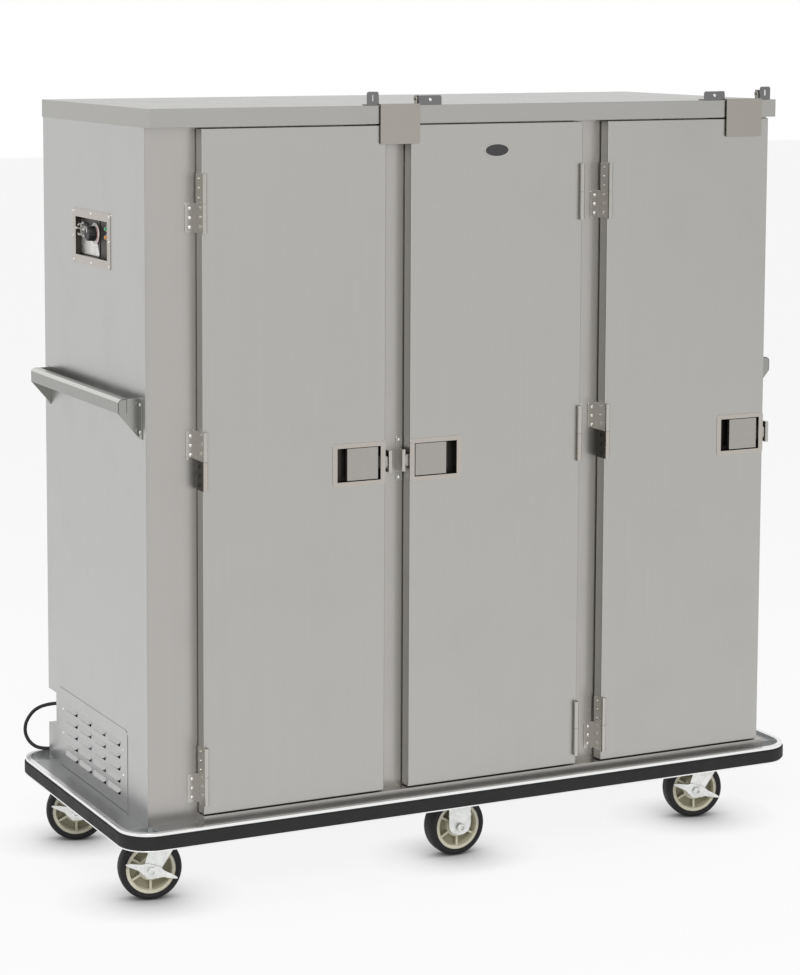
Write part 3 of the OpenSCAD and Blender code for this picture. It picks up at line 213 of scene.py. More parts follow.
# pale copy of the handle steel: painted highlight on the handle's top chamfer
handle_edge_painted_highlight = brushed("handle_edge_painted_highlight", (0.66, 0.66, 0.63), "y", 0.2)
bracket_steel = brushed("bracket_steel", (0.2, 0.2, 0.2), "x", 0.3)
liner_steel = brushed("liner_steel", (0.52, 0.52, 0.5), "z", 0.36)
rack_steel = brushed("rack_steel", (0.6, 0.6, 0.58), "y", 0.28)
galvanised = plated("galvanised", (0.5, 0.52, 0.53), 0.42)
screw_steel = plated("screw_steel", (0.8, 0.79, 0.77), 0.16)
rail_aluminium = brushed("rail_aluminium", (0.88, 0.885, 0.88), "x", 0.24)
zinc = plated("zinc", (0.86, 0.87, 0.85), 0.26)
black_rubber = moulded("black_rubber", (0.005, 0.0045, 0.0045), 0.62, (0.022, 0.021, 0.02), 0.2)
gasket_rubber = moulded("gasket_rubber", (0.05, 0.05, 0.052), 0.6, (0.12, 0.12, 0.11), 0.3)
tyre_rubber = moulded("tyre_rubber", (0.004, 0.0035, 0.005), 0.6, (0.018, 0.016, 0.018), 0.25, 260)
cream_plastic = moulded("cream_plastic", (0.76, 0.73, 0.58), 0.34, (0.5, 0.47, 0.33), 0.3)
# darker olive hub tone for the pockets: dirt and painted shade in the recesses
pocket_dirt_and_painted_shade = moulded("pocket_dirt_and_painted_shade", (0.4, 0.38, 0.27), 0.5, (0.24, 0.22, 0.14), 0.5)
black_plastic = moulded("black_plastic", (0.01, 0.01, 0.011), 0.3, (0.04, 0.04, 0.04), 0.2)
white_plastic = moulded("white_plastic", (0.8, 0.79, 0.77), 0.3, (0.6, 0.59, 0.55), 0.15)
red_enamel = moulded("red_enamel", (0.7, 0.03, 0.025), 0.25, (0.4, 0.04, 0.03), 0.15)
dark_enamel = moulded("dark_enamel", (0.03, 0.03, 0.032), 0.35, (0.07, 0.07, 0.07), 0.2)
brass = plated("brass", (0.78, 0.62, 0.32), 0.25)


def lens_material(name, colour):
    f = Finish(name)
    grain = f.noise(60, detail=1)
    return f.set(colour=f.between(grain, tinted(colour, 0.8), colour), rough=0.12 + 0.05 * grain, coat=0.6,
                 glow=f.between(grain, tinted(colour, 0.5), colour), glow_power=0.15)


green_lens = lens_material("green_lens", (0.08, 0.42, 0.2))
amber_lens = lens_material("amber_lens", (0.75, 0.3, 0.06))


# ---------- shapes ----------

HERE = Matrix.Identity(4)


def mm(points):
    """Points given in millimetres, turned into metres."""
    return [tuple(c * MM for c in point) for point in points]


def circle(radius, count, middle=(0, 0)):
    """Outline of a circle."""
    return [(middle[0] + radius * math.cos(a), middle[1] + radius * math.sin(a))
            for a in (2 * math.pi * k / count for k in range(count))]


def add_piece(name, mesh, material, body, *nodes, smooth=35, slot=None):
    """Puts a mesh on a body, in place of the CAD nodes given."""
    piece = bpy.data.objects.new(name, mesh)
    bpy.context.scene.collection.objects.link(piece)
    mesh.materials.clear()
    mesh.materials.append(material)
    if smooth:
        mesh.shade_smooth()
        mesh.set_sharp_from_angle(angle=math.radians(smooth))
        keep_flats(piece)
    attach(piece, body)
    if nodes:
        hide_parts(*nodes)
    return piece


def keep_flats(piece):
    """Shades large faces flat, so that only the rounded edges between them turn the light."""
    step = piece.modifiers.new("flats", "WEIGHTED_NORMAL")
    step.mode, step.weight, step.keep_sharp = "FACE_AREA", 50, True


def bevel_edges(bm, width, angle=32, segments=2):
    """Rounds the edges between faces that meet at more than the angle."""
    edges = [e for e in bm.edges if len(e.link_faces) == 2 and e.calc_face_angle(0) > math.radians(angle)]
    bmesh.ops.bevel(bm, geom=edges, offset=width, segments=segments, profile=0.5, affect="EDGES",
                    clamp_overlap=True)


def mesh_from(bm, name):
    mesh = bpy.data.meshes.new(name)
    bm.normal_update()
    bm.to_mesh(mesh)
    bm.free()
    return mesh


def lathe(profile, segments=96):
    """Mesh of a profile of (radius, height) turned round Z; radius 0 closes an end."""
    bm = bmesh.new()
    rings = []
    for radius, height in profile:
        if radius < 1e-7:
            rings.append([bm.verts.new((0, 0, height))])
            continue
        rings.append([bm.verts.new((radius * math.cos(a), radius * math.sin(a), height))
                      for a in (2 * math.pi * k / segments for k in range(segments))])
    for low, high in zip(rings, rings[1:]):
        for k in range(segments):
            a, b = low[k % len(low)], low[(k + 1) % len(low)]
            c, d = high[(k + 1) % len(high)], high[k % len(high)]
            corners = list(dict.fromkeys((a, b, c, d)))
            if len(corners) > 2:
                bm.faces.new(corners)
    bmesh.ops.recalc_face_normals(bm, faces=bm.faces)
    return bm


def add_box(bm, low, high, bevel=0, segments=2):
    """A box from corner to corner, with round edges."""
    low, high = Vector(low), Vector(high)
    made = bmesh.ops.create_cube(bm, size=1)
    bmesh.ops.scale(bm, vec=high - low, verts=made["verts"])
    bmesh.ops.translate(bm, vec=(low + high) / 2, verts=made["verts"])
    if bevel:
        edges = list({e for v in made["verts"] for e in v.link_edges})
        bmesh.ops.bevel(bm, geom=edges, offset=bevel, segments=segments, profile=0.5, affect="EDGES",
                        clamp_overlap=True)


def round_corners(width, height, radius, points=6):
    """Outline of a rectangle about the middle, with round corners."""
    outline = []
    for k, (sx, sy) in enumerate(((1, 1), (-1, 1), (-1, -1), (1, -1))):
        for i in range(points + 1):
            a = math.pi / 2 * (k + i / points)
            outline.append((sx * (width / 2 - radius) + radius * math.cos(a),
                            sy * (height / 2 - radius) + radius * math.sin(a)))
    return outline


def cut_sheet(name, outlines, thickness, bevel=0.0):
    """Flat sheet in XY from z 0 to the thickness: the first outline is its edge, the others are holes."""
    curve = bpy.data.curves.new(name, "CURVE")
    curve.dimensions = "2D"
    curve.fill_mode = "BOTH"
    curve.extrude = thickness / 2 - bevel
    curve.bevel_depth = bevel
    curve.bevel_resolution = 1
    curve.offset = -bevel
    for outline in outlines:
        spline = curve.splines.new("POLY")
        spline.points.add(len(outline) - 1)
        for point, (x, y) in zip(spline.points, outline):
            point.co = (x, y, 0, 1)
        spline.use_cyclic_u = True
    holder = bpy.data.objects.new(name, curve)
    bpy.context.scene.collection.objects.link(holder)
    bpy.context.view_layer.update()
    made = bpy.data.meshes.new_from_object(holder.evaluated_get(bpy.context.evaluated_depsgraph_get()))
    bpy.data.objects.remove(holder)
    bm = bmesh.new()
    bm.from_mesh(made)
    bmesh.ops.remove_doubles(bm, verts=bm.verts, dist=1e-6)
    bmesh.ops.translate(bm, vec=(0, 0, thickness / 2), verts=bm.verts)
    return bm


def joined(*parts):
    """One bmesh of several, each with the matrix that places it."""
    whole = bmesh.new()
    for bm, matrix in parts:
        mesh = mesh_from(bm, "part")
        mesh.transform(matrix)
        whole.from_mesh(mesh)
    return whole


def facing(axis, at):
    """Matrix that turns local Z to an axis and moves the origin to a point, in millimetres."""
    axis = Vector(axis).normalized()
    return Matrix.Translation(Vector(at) * MM) @ axis.to_track_quat("Z", "Y").to_matrix().to_4x4()


def wall_left(at):
    """Places a sheet drawn in XY on the cart's left side: its X runs to the front, its Y up."""
    return Matrix.Translation(Vector(at) * MM) @ Matrix(((0, 0, -1, 0), (-1, 0, 0, 0), (0, 1, 0, 0), (0, 0, 0, 1)))


# ---------- power cord ----------

CORD, GLAND_LENGTH = 9, 20
HANK_PITCH, HANK_FOLD, HANK_RUN, HANK_TURNS, WAIST = 10.2, 27, 145, 2, 12
HANK_OUTER = HANK_FOLD + HANK_TURNS * HANK_PITCH
CORD_REST = 196.4 + CORD / 2
HANK_AT = Vector((-640, 354 + 0.8 + 0.6 + CORD / 2, CORD_REST + HANK_OUTER))
ROUTE = [(-812, 318, 325), (-812, 334, 325), (-812, 352, 325), (-816, 372, 322), (-830, 391, 316),
         (-845, 403, 309), (-859, 410, 299), (-870, 413, 286), (-879, 413, 271), (-883, 411, 256),
         (-883, 407, 242), (-879, 400, 229), (-872, 392, 219), (-862, 384, 212), (-850, 377, 209),
         (-837, 371, 208), (-820, 366, 207), (-800, 362.5, 205), (-780, 360.5, 202.5), (-762, 359.5, 201.2),
         (HANK_AT.x - HANK_RUN / 2 - 25, HANK_AT.y, CORD_REST), (HANK_AT.x - HANK_RUN / 2 - 12, HANK_AT.y, CORD_REST),
         (HANK_AT.x - HANK_RUN / 2, HANK_AT.y, CORD_REST)]


def through(points, steps):
    """Smooth line through the points, by a spline with equal steps."""
    p = [Vector(q) for q in points]
    line = []
    for i in range(len(p) - 1):
        a, b, c, d = p[max(i - 1, 0)], p[i], p[i + 1], p[min(i + 2, len(p) - 1)]
        for k in range(steps):
            t = k / steps
            line.append(0.5 * (2 * b + (c - a) * t + (2 * a - 5 * b + 4 * c - d) * t * t
                               + (3 * b - a - 3 * c + d) * t ** 3))
    return line + [p[-1]]


def hank_point(q):
    """Point after q quarter turns: two layers that spiral in and out, drawn in at the waist."""
    turn = HANK_TURNS * 4
    if q < turn:
        half, layer = HANK_OUTER - HANK_PITCH * q / 4, 0
    elif q < turn + 1:
        t = q - turn
        half, layer = HANK_FOLD, t * t * (3 - 2 * t)
    else:
        half, layer = HANK_FOLD + HANK_PITCH * (q - turn - 1) / 4, 1
    part, t = int(q) % 4, q - int(q)
    y = HANK_AT.y + HANK_PITCH * layer
    reach = HANK_RUN / 2
    pinch = WAIST * math.sin(math.pi * t) ** 2
    swing, drop = half * math.sin(math.pi * t), half * math.cos(math.pi * t)
    if part == 0:
        return Vector((HANK_AT.x - reach + 2 * reach * t, y, HANK_AT.z - half + pinch))
    if part == 1:
        return Vector((HANK_AT.x + reach + swing, y, HANK_AT.z - drop))
    if part == 2:
        return Vector((HANK_AT.x + reach - 2 * reach * t, y, HANK_AT.z + half - pinch))
    return Vector((HANK_AT.x - reach - swing, y, HANK_AT.z + drop))


def make_cord():
    quarters = 8 * HANK_TURNS + 1
    fine = 16
    points = through(ROUTE, 5)[:-1] + [hank_point(i / fine) for i in range(quarters * fine + 1)]
    lead = HANK_OUTER + 12
    points += [points[-1] + Vector((lead * i / 8, 0, 0)) for i in range(1, 9)]
    curve = bpy.data.curves.new("power_cord_line", "CURVE")
    curve.dimensions = "3D"
    spline = curve.splines.new("POLY")
    spline.points.add(len(points) - 1)
    for point, at in zip(spline.points, points):
        point.co = (*(at * MM), 1)
    curve.bevel_depth = CORD / 2 * MM
    curve.bevel_resolution = 4
    curve.use_fill_caps = True
    curve.materials.append(black_rubber)
    cord = bpy.data.objects.new("power_cord_lead", curve)
    bpy.context.scene.collection.objects.link(cord)
    spline.use_smooth = True
    length = sum((b - a).length for a, b in zip(points, points[1:])) * MM
    return cord, points[0], points[-1], length


def make_gland():
    """Tapered strain relief with a flange, slotted along its cone."""
    profile = [(0, 0), (12, 0), (12, 3.5), (11, 5), (8, 5)]
    for k in range(5):
        z = 6 + k * 2.8
        profile += [(7.6 - 0.45 * k, z), (7.6 - 0.45 * k, z + 1.5), (6.6 - 0.4 * k, z + 1.8), (6.6 - 0.4 * k, z + 2.5)]
    profile += [(5.2, GLAND_LENGTH), (0, GLAND_LENGTH)]
    bm = lathe(mm(profile), 48)
    x, y, z = ROUTE[0]
    bmesh.ops.transform(bm, matrix=facing((0, 1, 0), (x, y - GLAND_LENGTH, z)), verts=bm.verts)
    return add_piece("cord_gland", mesh_from(bm, "cord_gland"), black_rubber, "cabinet", "cord_fittings", slot="rubber")


PLUG_NECK, PLUG_LENGTH = 16, 42


def make_plug(end):
    """Moulded plug with a ribbed collar, lying on the deck with its prongs beside the run."""
    x, y, z = end
    collar = [(0, 0), (5.2, 0)]
    for k in range(4):
        collar += [(5.6 + 0.3 * k, 1.5 + 3.6 * k), (5.6 + 0.3 * k, 3.4 + 3.6 * k), (5.0 + 0.2 * k, 3.8 + 3.6 * k),
                   (5.0 + 0.2 * k, 4.8 + 3.6 * k)]
    collar += [(6.2, 17), (0, 17)]
    neck = lathe(mm(collar), 32)
    flat = CORD_REST - CORD / 2
    for v in neck.verts:
        v.co.x = min(-v.co.x, (z - flat) * MM)
    base, tip, middle = x + PLUG_NECK, x + PLUG_NECK + PLUG_LENGTH, (y - 1.5) * MM
    shell = bmesh.new()
    add_box(shell, *mm([(base, y - 11, flat), (tip, y + 7.5, flat + 20)]), 3.2 * MM, 4)
    for v in shell.verts:
        if v.co.x > (x + 50) * MM:
            v.co.y = middle + (v.co.y - middle) * 0.94
    turn = Matrix(((0, 0, 1, 0), (0, 1, 0, 0), (-1, 0, 0, 0), (0, 0, 0, 1)))
    neck_at = Matrix.Translation(Vector((x, y, z)) * MM) @ turn
    body = joined((neck, neck_at), (shell, HERE))
    plug = add_piece("cord_plug", mesh_from(body, "cord_plug"), black_rubber, "cabinet", "cord_fittings", slot="rubber")
    pins = bmesh.new()
    for dz in (6, 13):
        add_box(pins, *mm([(tip - 1, y - 7, flat + dz), (tip + 18, y - 1, flat + dz + 1.6)]), 0.5 * MM)
    ground = lathe(mm([(0, 0), (2.4, 0), (2.4, 18.5), (1.2, 20), (0, 20)]), 24)
    prongs = joined((pins, HERE), (ground, facing((1, 0, 0), (tip, y + 3.5, flat + 10))))
    prongs = add_piece("cord_plug_prongs", mesh_from(prongs, "prongs"), brass, "cabinet", "cord_fittings")
    return plug, prongs


def make_tie():
    """Strap round the hank's waist."""
    half = HANK_OUTER - WAIST + CORD / 2 + 0.3
    y0, y1 = HANK_AT.y - CORD / 2 - 0.3, HANK_AT.y + HANK_PITCH + CORD / 2 + 0.3
    mid, depth = (y0 + y1) / 2, y1 - y0
    outer = round_corners(depth + 1.6, 2 * half + 1.6, 3)
    inner = round_corners(depth, 2 * half, 2.4)
    bm = cut_sheet("cord_tie", [mm(outer), mm(inner)], 14 * MM, 0.2 * MM)
    place = Matrix.Translation(Vector((HANK_AT.x + 7, mid, HANK_AT.z)) * MM)
    place = place @ Matrix(((0, 0, -1, 0), (1, 0, 0, 0), (0, 1, 0, 0), (0, 0, 0, 1)))
    return add_piece("cord_tie", mesh_from(joined((bm, place)), "cord_tie"), black_rubber, "cabinet", "cord_fittings")


cord_piece, cord_exit, cord_end, cord_length = make_cord()
gland = make_gland()
plug, prongs = make_plug(cord_end)
tie = make_tie()
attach(cord_piece, "cabinet")
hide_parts("power_cord", "cord_hank")
cord_exit * MM


# ---------- solids taken over from the frame ----------

def home(node):
    """The body that carries a node of the frame."""
    return frame["nodes"][node]["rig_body"]


def solid(node):
    """The node's own surface, welded and with its flat faces whole."""
    bm = bmesh.new()
    bm.from_mesh(frame["nodes"][node].data)
    bmesh.ops.remove_doubles(bm, verts=bm.verts, dist=2e-6)
    bmesh.ops.dissolve_limit(bm, angle_limit=math.radians(0.5), verts=bm.verts, edges=bm.edges)
    return bm


def round_plate_corners(bm, axis, thickness, radius):
    """Rounds the free corners of sheets: the short edges along an axis that are as long as the sheet is thick."""
    chosen = []
    for e in bm.edges:
        run = e.verts[1].co - e.verts[0].co
        if (len(e.link_faces) == 2 and abs(run.length - thickness * MM) < 0.08 * MM
                and abs(run[axis]) > 0.98 * run.length and abs(e.calc_face_angle_signed(0) - math.pi / 2) < 0.1):
            chosen.append(e)
    bmesh.ops.bevel(bm, geom=chosen, offset=radius * MM, segments=6, profile=0.5, affect="EDGES", clamp_overlap=True)


def refine(node, material, bevel=0.4, corners=(), slot=None, angle=32):
    """A node's own solids with round corners and broken edges. Sizes are in millimetres."""
    bm = solid(node)
    for axis, thickness, radius in corners:
        round_plate_corners(bm, axis, thickness, radius)
    if bevel:
        bevel_edges(bm, bevel * MM, angle)
    return add_piece(node + "_piece", mesh_from(bm, node), material, home(node), node, slot=slot)


def loose_solids(bm):
    """The separate solids of a bmesh, as lists of vertices."""
    left, groups = set(bm.verts), []
    while left:
        stack, group = [left.pop()], []
        while stack:
            vert = stack.pop()
            group.append(vert)
            for e in vert.link_edges:
                other = e.other_vert(vert)
                if other in left:
                    left.remove(other)
                    stack.append(other)
        groups.append(group)
    return sorted(groups, key=lambda g: tuple(round(min(v.co[i] for v in g), 5) for i in range(3)))


def paint_solids(piece, material, choose):
    """Gives a second material to the faces whose middle, in millimetres, the test accepts."""
    piece.data.materials.append(material)
    for face in piece.data.polygons:
        if choose(face.center / MM):
            face.material_index = len(piece.data.materials) - 1


def cut(piece, *boxes):
    """Cuts boxes, given by two corners in millimetres, out of a piece."""
    for low, high in boxes:
        bm = bmesh.new()
        add_box(bm, *mm((low, high)))
        cutter = bpy.data.objects.new("cutter", mesh_from(bm, "cutter"))
        bpy.context.scene.collection.objects.link(cutter)
        step = piece.modifiers.new("cut", "BOOLEAN")
        step.operation, step.solver, step.object = "DIFFERENCE", "EXACT", cutter
        bpy.context.view_layer.update()
        made = bpy.data.meshes.new_from_object(piece.evaluated_get(bpy.context.evaluated_depsgraph_get()))
        piece.modifiers.clear()
        piece.data = made
        keep_flats(piece)
        bpy.data.objects.remove(cutter)


# ---------- base ----------

refine("chassis_frame", galvanised, 0.5, slot="galvanised")
refine("bumper_rail", rail_aluminium, 0.7, slot="aluminium")
refine("bumper_rubber", black_rubber, 0.9, slot="rubber", angle=20)
refine("deck_channels", deck_steel, 0.8, slot="bright_stainless")

# ---------- cabinet ----------

refine("left_side_panel", side_steel, 0.4, slot="stainless")
refine("right_side_panel", side_steel, 0.5, slot="stainless")
refine("back_panel", side_steel, 0.4, slot="stainless")
refine("face_frame", frame_steel, 0.5, slot="stainless")
refine("top_cap", cap_steel, 0.9, slot="stainless")
refine("bay_liners", liner_steel, 0.25)
refine("tray_racks", rack_steel, 0.5)
refine("door_gaskets", gasket_rubber, 0.8, slot="gasket")
refine("cord_recess", liner_steel, 0.4)
refine("heater_element", galvanised, 0.6)
refine("blower_housing", galvanised, 0.5)
refine("blower_wheel", rack_steel, 0.3)

# ---------- doors ----------

DOOR_X, HINGE_SIDE = (-714, -183, 354), (1, -1, 1)
DOOR_W, DOOR_Z, DOOR_TOP, LATCH_Z = 466, 220, 1806, 1013
DOOR_FRONT, DOOR_BACK = -356, -322
POCKET_RUN, POCKET_BACK, POCKET_HALF = (DOOR_W - 127.3, DOOR_W - 10.7), -329.2, 41.8
BOLT_Y, BOLT_HALF = (-352.5, -331), 16
NAMES = ("left", "middle", "right")


def across(i, d):
    """X at a distance from the hinge edge of door i."""
    return DOOR_X[i] + d if HINGE_SIDE[i] > 0 else DOOR_X[i] + DOOR_W - d


def span(i, d0, d1, y0, y1, z0, z1):
    """Two corners of a box on door i, between two distances from its hinge edge."""
    xs = sorted((across(i, d0), across(i, d1)))
    return (xs[0], y0, z0), (xs[1], y1, z1)


def make_door(i):
    """A folded door pan with soft edges, cut out for its latch and bolt."""
    bm = bmesh.new()
    add_box(bm, *mm([(DOOR_X[i], DOOR_FRONT, DOOR_Z), (DOOR_X[i] + DOOR_W, DOOR_BACK, DOOR_TOP)]), 2.4 * MM, 4)
    name = "door_" + NAMES[i]
    door = add_piece(name + "_pan", mesh_from(bm, name), door_steel, name, name, slot="stainless")
    cut(door, span(i, *POCKET_RUN, DOOR_FRONT - 2, POCKET_BACK, LATCH_Z - POCKET_HALF, LATCH_Z + POCKET_HALF),
        span(i, DOOR_W - 15.5, DOOR_W + 1, *BOLT_Y, LATCH_Z - BOLT_HALF, LATCH_Z + BOLT_HALF))
    door.data.shade_smooth()
    door.data.set_sharp_from_angle(angle=math.radians(30))
    return door


for i, name in enumerate(NAMES):
    make_door(i)
    hardware = refine(f"door_{name}_hardware", hinge_steel, 0.35, corners=[(1, 1.2, 7), (0, 2, 4)],
                      slot="bright_stainless")
    paint_solids(hardware, latch_steel, lambda p: abs(p.z - LATCH_Z) < 55)
    # the latch recess walls behind the door face get painted shade
    paint_solids(hardware, painted_shade_steel, lambda p: abs(p.z - LATCH_Z) < 42 and p.y > DOOR_FRONT + 1.5)
    refine(f"paddle_{name}", paddle_steel, 0.7, corners=[(1, 3, 6)], slot="stainless")

frame_fittings = refine("frame_hardware", hinge_steel, 0.4, corners=[(1, 2, 4.5), (1, 2.5, 5)],
                        slot="bright_stainless")
paint_solids(frame_fittings, bracket_steel, lambda p: p.z > 1852.2)
for side in ("left", "right"):
    refine("transport_flap_" + side, flap_steel, 0.5, corners=[(1, 2.5, 4)], slot="stainless")


def make_nameplate():
    """Blank oval plate with a raised rim, high on the middle door."""
    rim = [(33 * MM * math.cos(a), 16 * MM * math.sin(a)) for a in (2 * math.pi * k / 64 for k in range(64))]
    inside = [(x * 0.93, y * 0.87) for x, y in rim]
    place = facing((0, -1, 0), (46, DOOR_FRONT, 1742))
    ring = joined((cut_sheet("rim", [rim, inside], 1.0 * MM, 0.3 * MM), place))
    add_piece("door_middle_plate_rim", mesh_from(ring, "rim"), hinge_steel, "door_middle")
    face = joined((cut_sheet("face", [[(x * 1.01, y * 1.01) for x, y in inside]], 0.6 * MM, 0.15 * MM), place))
    add_piece("door_middle_plate", mesh_from(face, "plate"), dark_enamel, "door_middle")


make_nameplate()

# ---------- left side ----------

LOUVRE_W, LOUVRE_H, LOUVRE_R = 460, 196, 14
SLOT_W, SLOT_PITCH, ROW_PITCH = 82, 96.5, 29.2


def make_louvre_sheet():
    """Removable panel with rows of pressed louvres, its upper front corner round."""
    corner = [(LOUVRE_W - LOUVRE_R * (1 - math.sin(a)), LOUVRE_H - LOUVRE_R * (1 - math.cos(a)))
              for a in (math.pi / 2 * (1 - k / 8) for k in range(9))]
    outline = [(0, 0), (LOUVRE_W, 0)] + corner + [(0, LOUVRE_H)]
    holes, hoods = [], bmesh.new()
    for i in range(4):
        for j in range(5):
            u, v = (LOUVRE_W - SLOT_W) / 2 + (i - 1.5) * SLOT_PITCH, 27 + j * ROW_PITCH
            holes.append([(u + SLOT_W / 2 + x, v + 11 + y) for x, y in round_corners(SLOT_W, 16, 5)])
            add_hood(hoods, u, v)
    flat = cut_sheet("louvre_sheet", [mm(o) for o in [outline] + holes], 1.5 * MM, 0.3 * MM)
    whole = joined((flat, HERE), (hoods, Matrix.Translation((0, 0, 1.4 * MM))))
    whole = joined((whole, wall_left((-839, 267, 197))))
    return add_piece("louvre_sheet", mesh_from(whole, "louvre_sheet"), side_steel, "cabinet", "louvre_panel",
                     smooth=50, slot="stainless")


def add_hood(bm, u, v):
    """One louvre: a pressed hood with round ends that opens downwards."""
    along, down = 28, 8
    rows = []
    for s in range(down + 2):
        row = []
        for t in range(along + 1):
            x = SLOT_W * t / along
            d = min(x, SLOT_W - x)
            end = math.sqrt(max(0, 1 - (1 - min(d / 13, 1)) ** 2))
            k = min(s, down) / down
            out = 5.6 * math.sin(math.pi / 2 * k) * end
            height = 19.3 - 11.3 * k * (0.55 + 0.45 * end)
            if s > down:
                out, height = max(out - 1.3, 0), height + 0.5
            row.append(bm.verts.new(((u + x) * MM, (v + height) * MM, out * MM)))
        rows.append(row)
    for a, b in zip(rows, rows[1:]):
        for k in range(along):
            bm.faces.new((a[k], a[k + 1], b[k + 1], b[k]))


make_louvre_sheet()

PAN_X = -825
KNOB, SWITCH, LAMPS = (24, 1545), (92, 1550), ((-47, 1541), (-47, 1561))
DIAL_RED = -50

control = refine("control_pan", latch_steel, 0.35, corners=[(0, 1.5, 6)], slot="bright_stainless")
# the control recess walls get painted shade, the plate at its back and the switch ring stay bright
paint_solids(control, painted_shade_steel, lambda p: p.x > -838.5 and math.hypot(p.y - SWITCH[0], p.z - SWITCH[1]) > 17.2
             and not (p.x > PAN_X - 1.2 and p.y < -3))
paint_solids(control, screw_steel, lambda p: 12.5 < math.hypot(p.y - SWITCH[0], p.z - SWITCH[1]) < 17.2)


def make_lamps():
    """Two pilot lamps with domed lenses in bright rims."""
    for at, lens, colour in zip(LAMPS, (amber_lens, green_lens), ("amber", "green")):
        place = facing((-1, 0, 0), (PAN_X, *at))
        rim = lathe(mm([(0, 0), (6.5, 0), (6.5, 1.8), (6, 2.5), (5.2, 2.5), (5.2, 1), (0, 1)]), 48)
        add_piece(f"lamp_{colour}_rim", mesh_from(joined((rim, place)), "rim"), screw_steel, "cabinet", "pilot_lamps")
        dome = [(0, 1.2), (5, 1.2), (5, 4.5)] + [(5 * math.cos(a), 4.5 + 3 * math.sin(a))
                                                 for a in (math.pi / 2 * k / 6 for k in range(1, 6))] + [(0, 7.5)]
        bm = lathe(mm(dome), 48)
        add_piece(f"lamp_{colour}", mesh_from(joined((bm, place)), "lens"), lens, "cabinet", "pilot_lamps", slot="lamp")


make_lamps()


def make_knob():
    """Thermostat knob: pale dial skirt, fluted grip and a white pointer line."""
    place = facing((-1, 0, 0), (PAN_X - 2, *KNOB))
    skirt = lathe(mm([(0, 0), (25.4, 0), (26, 0.6), (26, 2), (24.6, 3), (0, 3)]))
    add_piece("knob_dial", mesh_from(joined((skirt, place)), "dial"), white_plastic, "thermostat_knob",
              "thermostat_knob")
    profile = [(0, 2.8), (18, 2.8), (18.2, 5), (17.4, 13), (16.6, 21.2), (15.2, 22.8), (12, 23), (11, 22.2), (0, 22)]
    grip = lathe(mm(profile), 120)
    for v in grip.verts:
        radius = math.hypot(v.co.x, v.co.y)
        if radius > 14 * MM and 3.5 * MM < v.co.z < 22.5 * MM:
            flute = 1 - 0.045 * max(0, math.cos(12 * math.atan2(v.co.y, v.co.x))) ** 2
            v.co.x, v.co.y = v.co.x * flute, v.co.y * flute
    pointer = bmesh.new()
    add_box(pointer, *mm([(-1, 3, 22), (1, 15.8, 23.5)]), 0.3 * MM)
    add_piece("knob_grip", mesh_from(joined((grip, place)), "grip"), black_plastic, "thermostat_knob",
              "thermostat_knob", slot="knob_black")
    add_piece("knob_pointer", mesh_from(joined((pointer, place)), "pointer"), white_plastic, "thermostat_knob",
              "thermostat_knob")
    ticks = bmesh.new()
    for k in range(11):
        tick = bmesh.new()
        add_box(tick, *mm([(-0.4, 19.6, 2.9), (0.4, 21.4, 3.25)]))
        tick.transform(Matrix.Rotation(math.radians(135 - 27 * k), 4, "Z"))
        ticks = joined((ticks, HERE), (tick, HERE))
    add_piece("knob_ticks", mesh_from(joined((ticks, place)), "ticks"), black_plastic, "thermostat_knob",
              "thermostat_knob")
    inner, outer = ([(r * math.cos(a), r * math.sin(a)) for a in (math.radians(DIAL_RED + 10 * k) for k in range(11))]
                    for r in (21.9, 24.4))
    band = cut_sheet("band", [mm(inner + outer[::-1])], 0.3 * MM)
    add_piece("knob_band", mesh_from(joined((band, place @ Matrix.Translation((0, 0, 2.95 * MM)))), "band"),
              red_enamel, "thermostat_knob", "thermostat_knob")
    line = bmesh.new()
    add_box(line, *mm([(PAN_X - 2.1, KNOB[0] - 1.2, 1496), (PAN_X - 1.5, KNOB[0] + 1.2, 1517)]), 0.2 * MM)
    add_piece("dial_mark", mesh_from(line, "mark"), white_plastic, "cabinet")


make_knob()


def make_toggle():
    """Bat-shaped toggle lever with a round end, on its trunnion."""
    pivot = (PAN_X - 6, *SWITCH)
    lever = [(0, 1), (2, 1), (1.9, 5), (2.2, 10), (2.7, 15), (2.9, 18.5), (2.5, 20.6), (1.4, 21.5), (0, 21.7)]
    bat = lathe(mm(lever), 32)
    drum = lathe(mm([(0, -7), (3.6, -7), (4.2, -6), (4.2, 6), (3.6, 7), (0, 7)]), 40)
    tilt = math.radians(14)
    whole = joined((bat, facing((-math.cos(tilt), 0, math.sin(tilt)), pivot)), (drum, facing((0, 1, 0), pivot)))
    add_piece("toggle_lever", mesh_from(whole, "toggle"), screw_steel, "power_switch", "power_switch")


make_toggle()

# ---------- handles, screws and rivets ----------

HANDLE_Y, HANDLE_TOP, HANDLE_FOOT = (-280.5, 315.5), 1192, 1099


def bar_section():
    """Folded section of a handle's bar, from its inner edge outwards: a wide chamfer along its top."""
    return [(868, 1158), (868, 1192), (882, 1192), (888.6, 1188), (890, 1184.5), (890, 1158), (887.6, 1158),
            (887.6, 1184), (886.9, 1186.4), (881.2, 1189.6), (870.4, 1189.6), (870.4, 1158)]


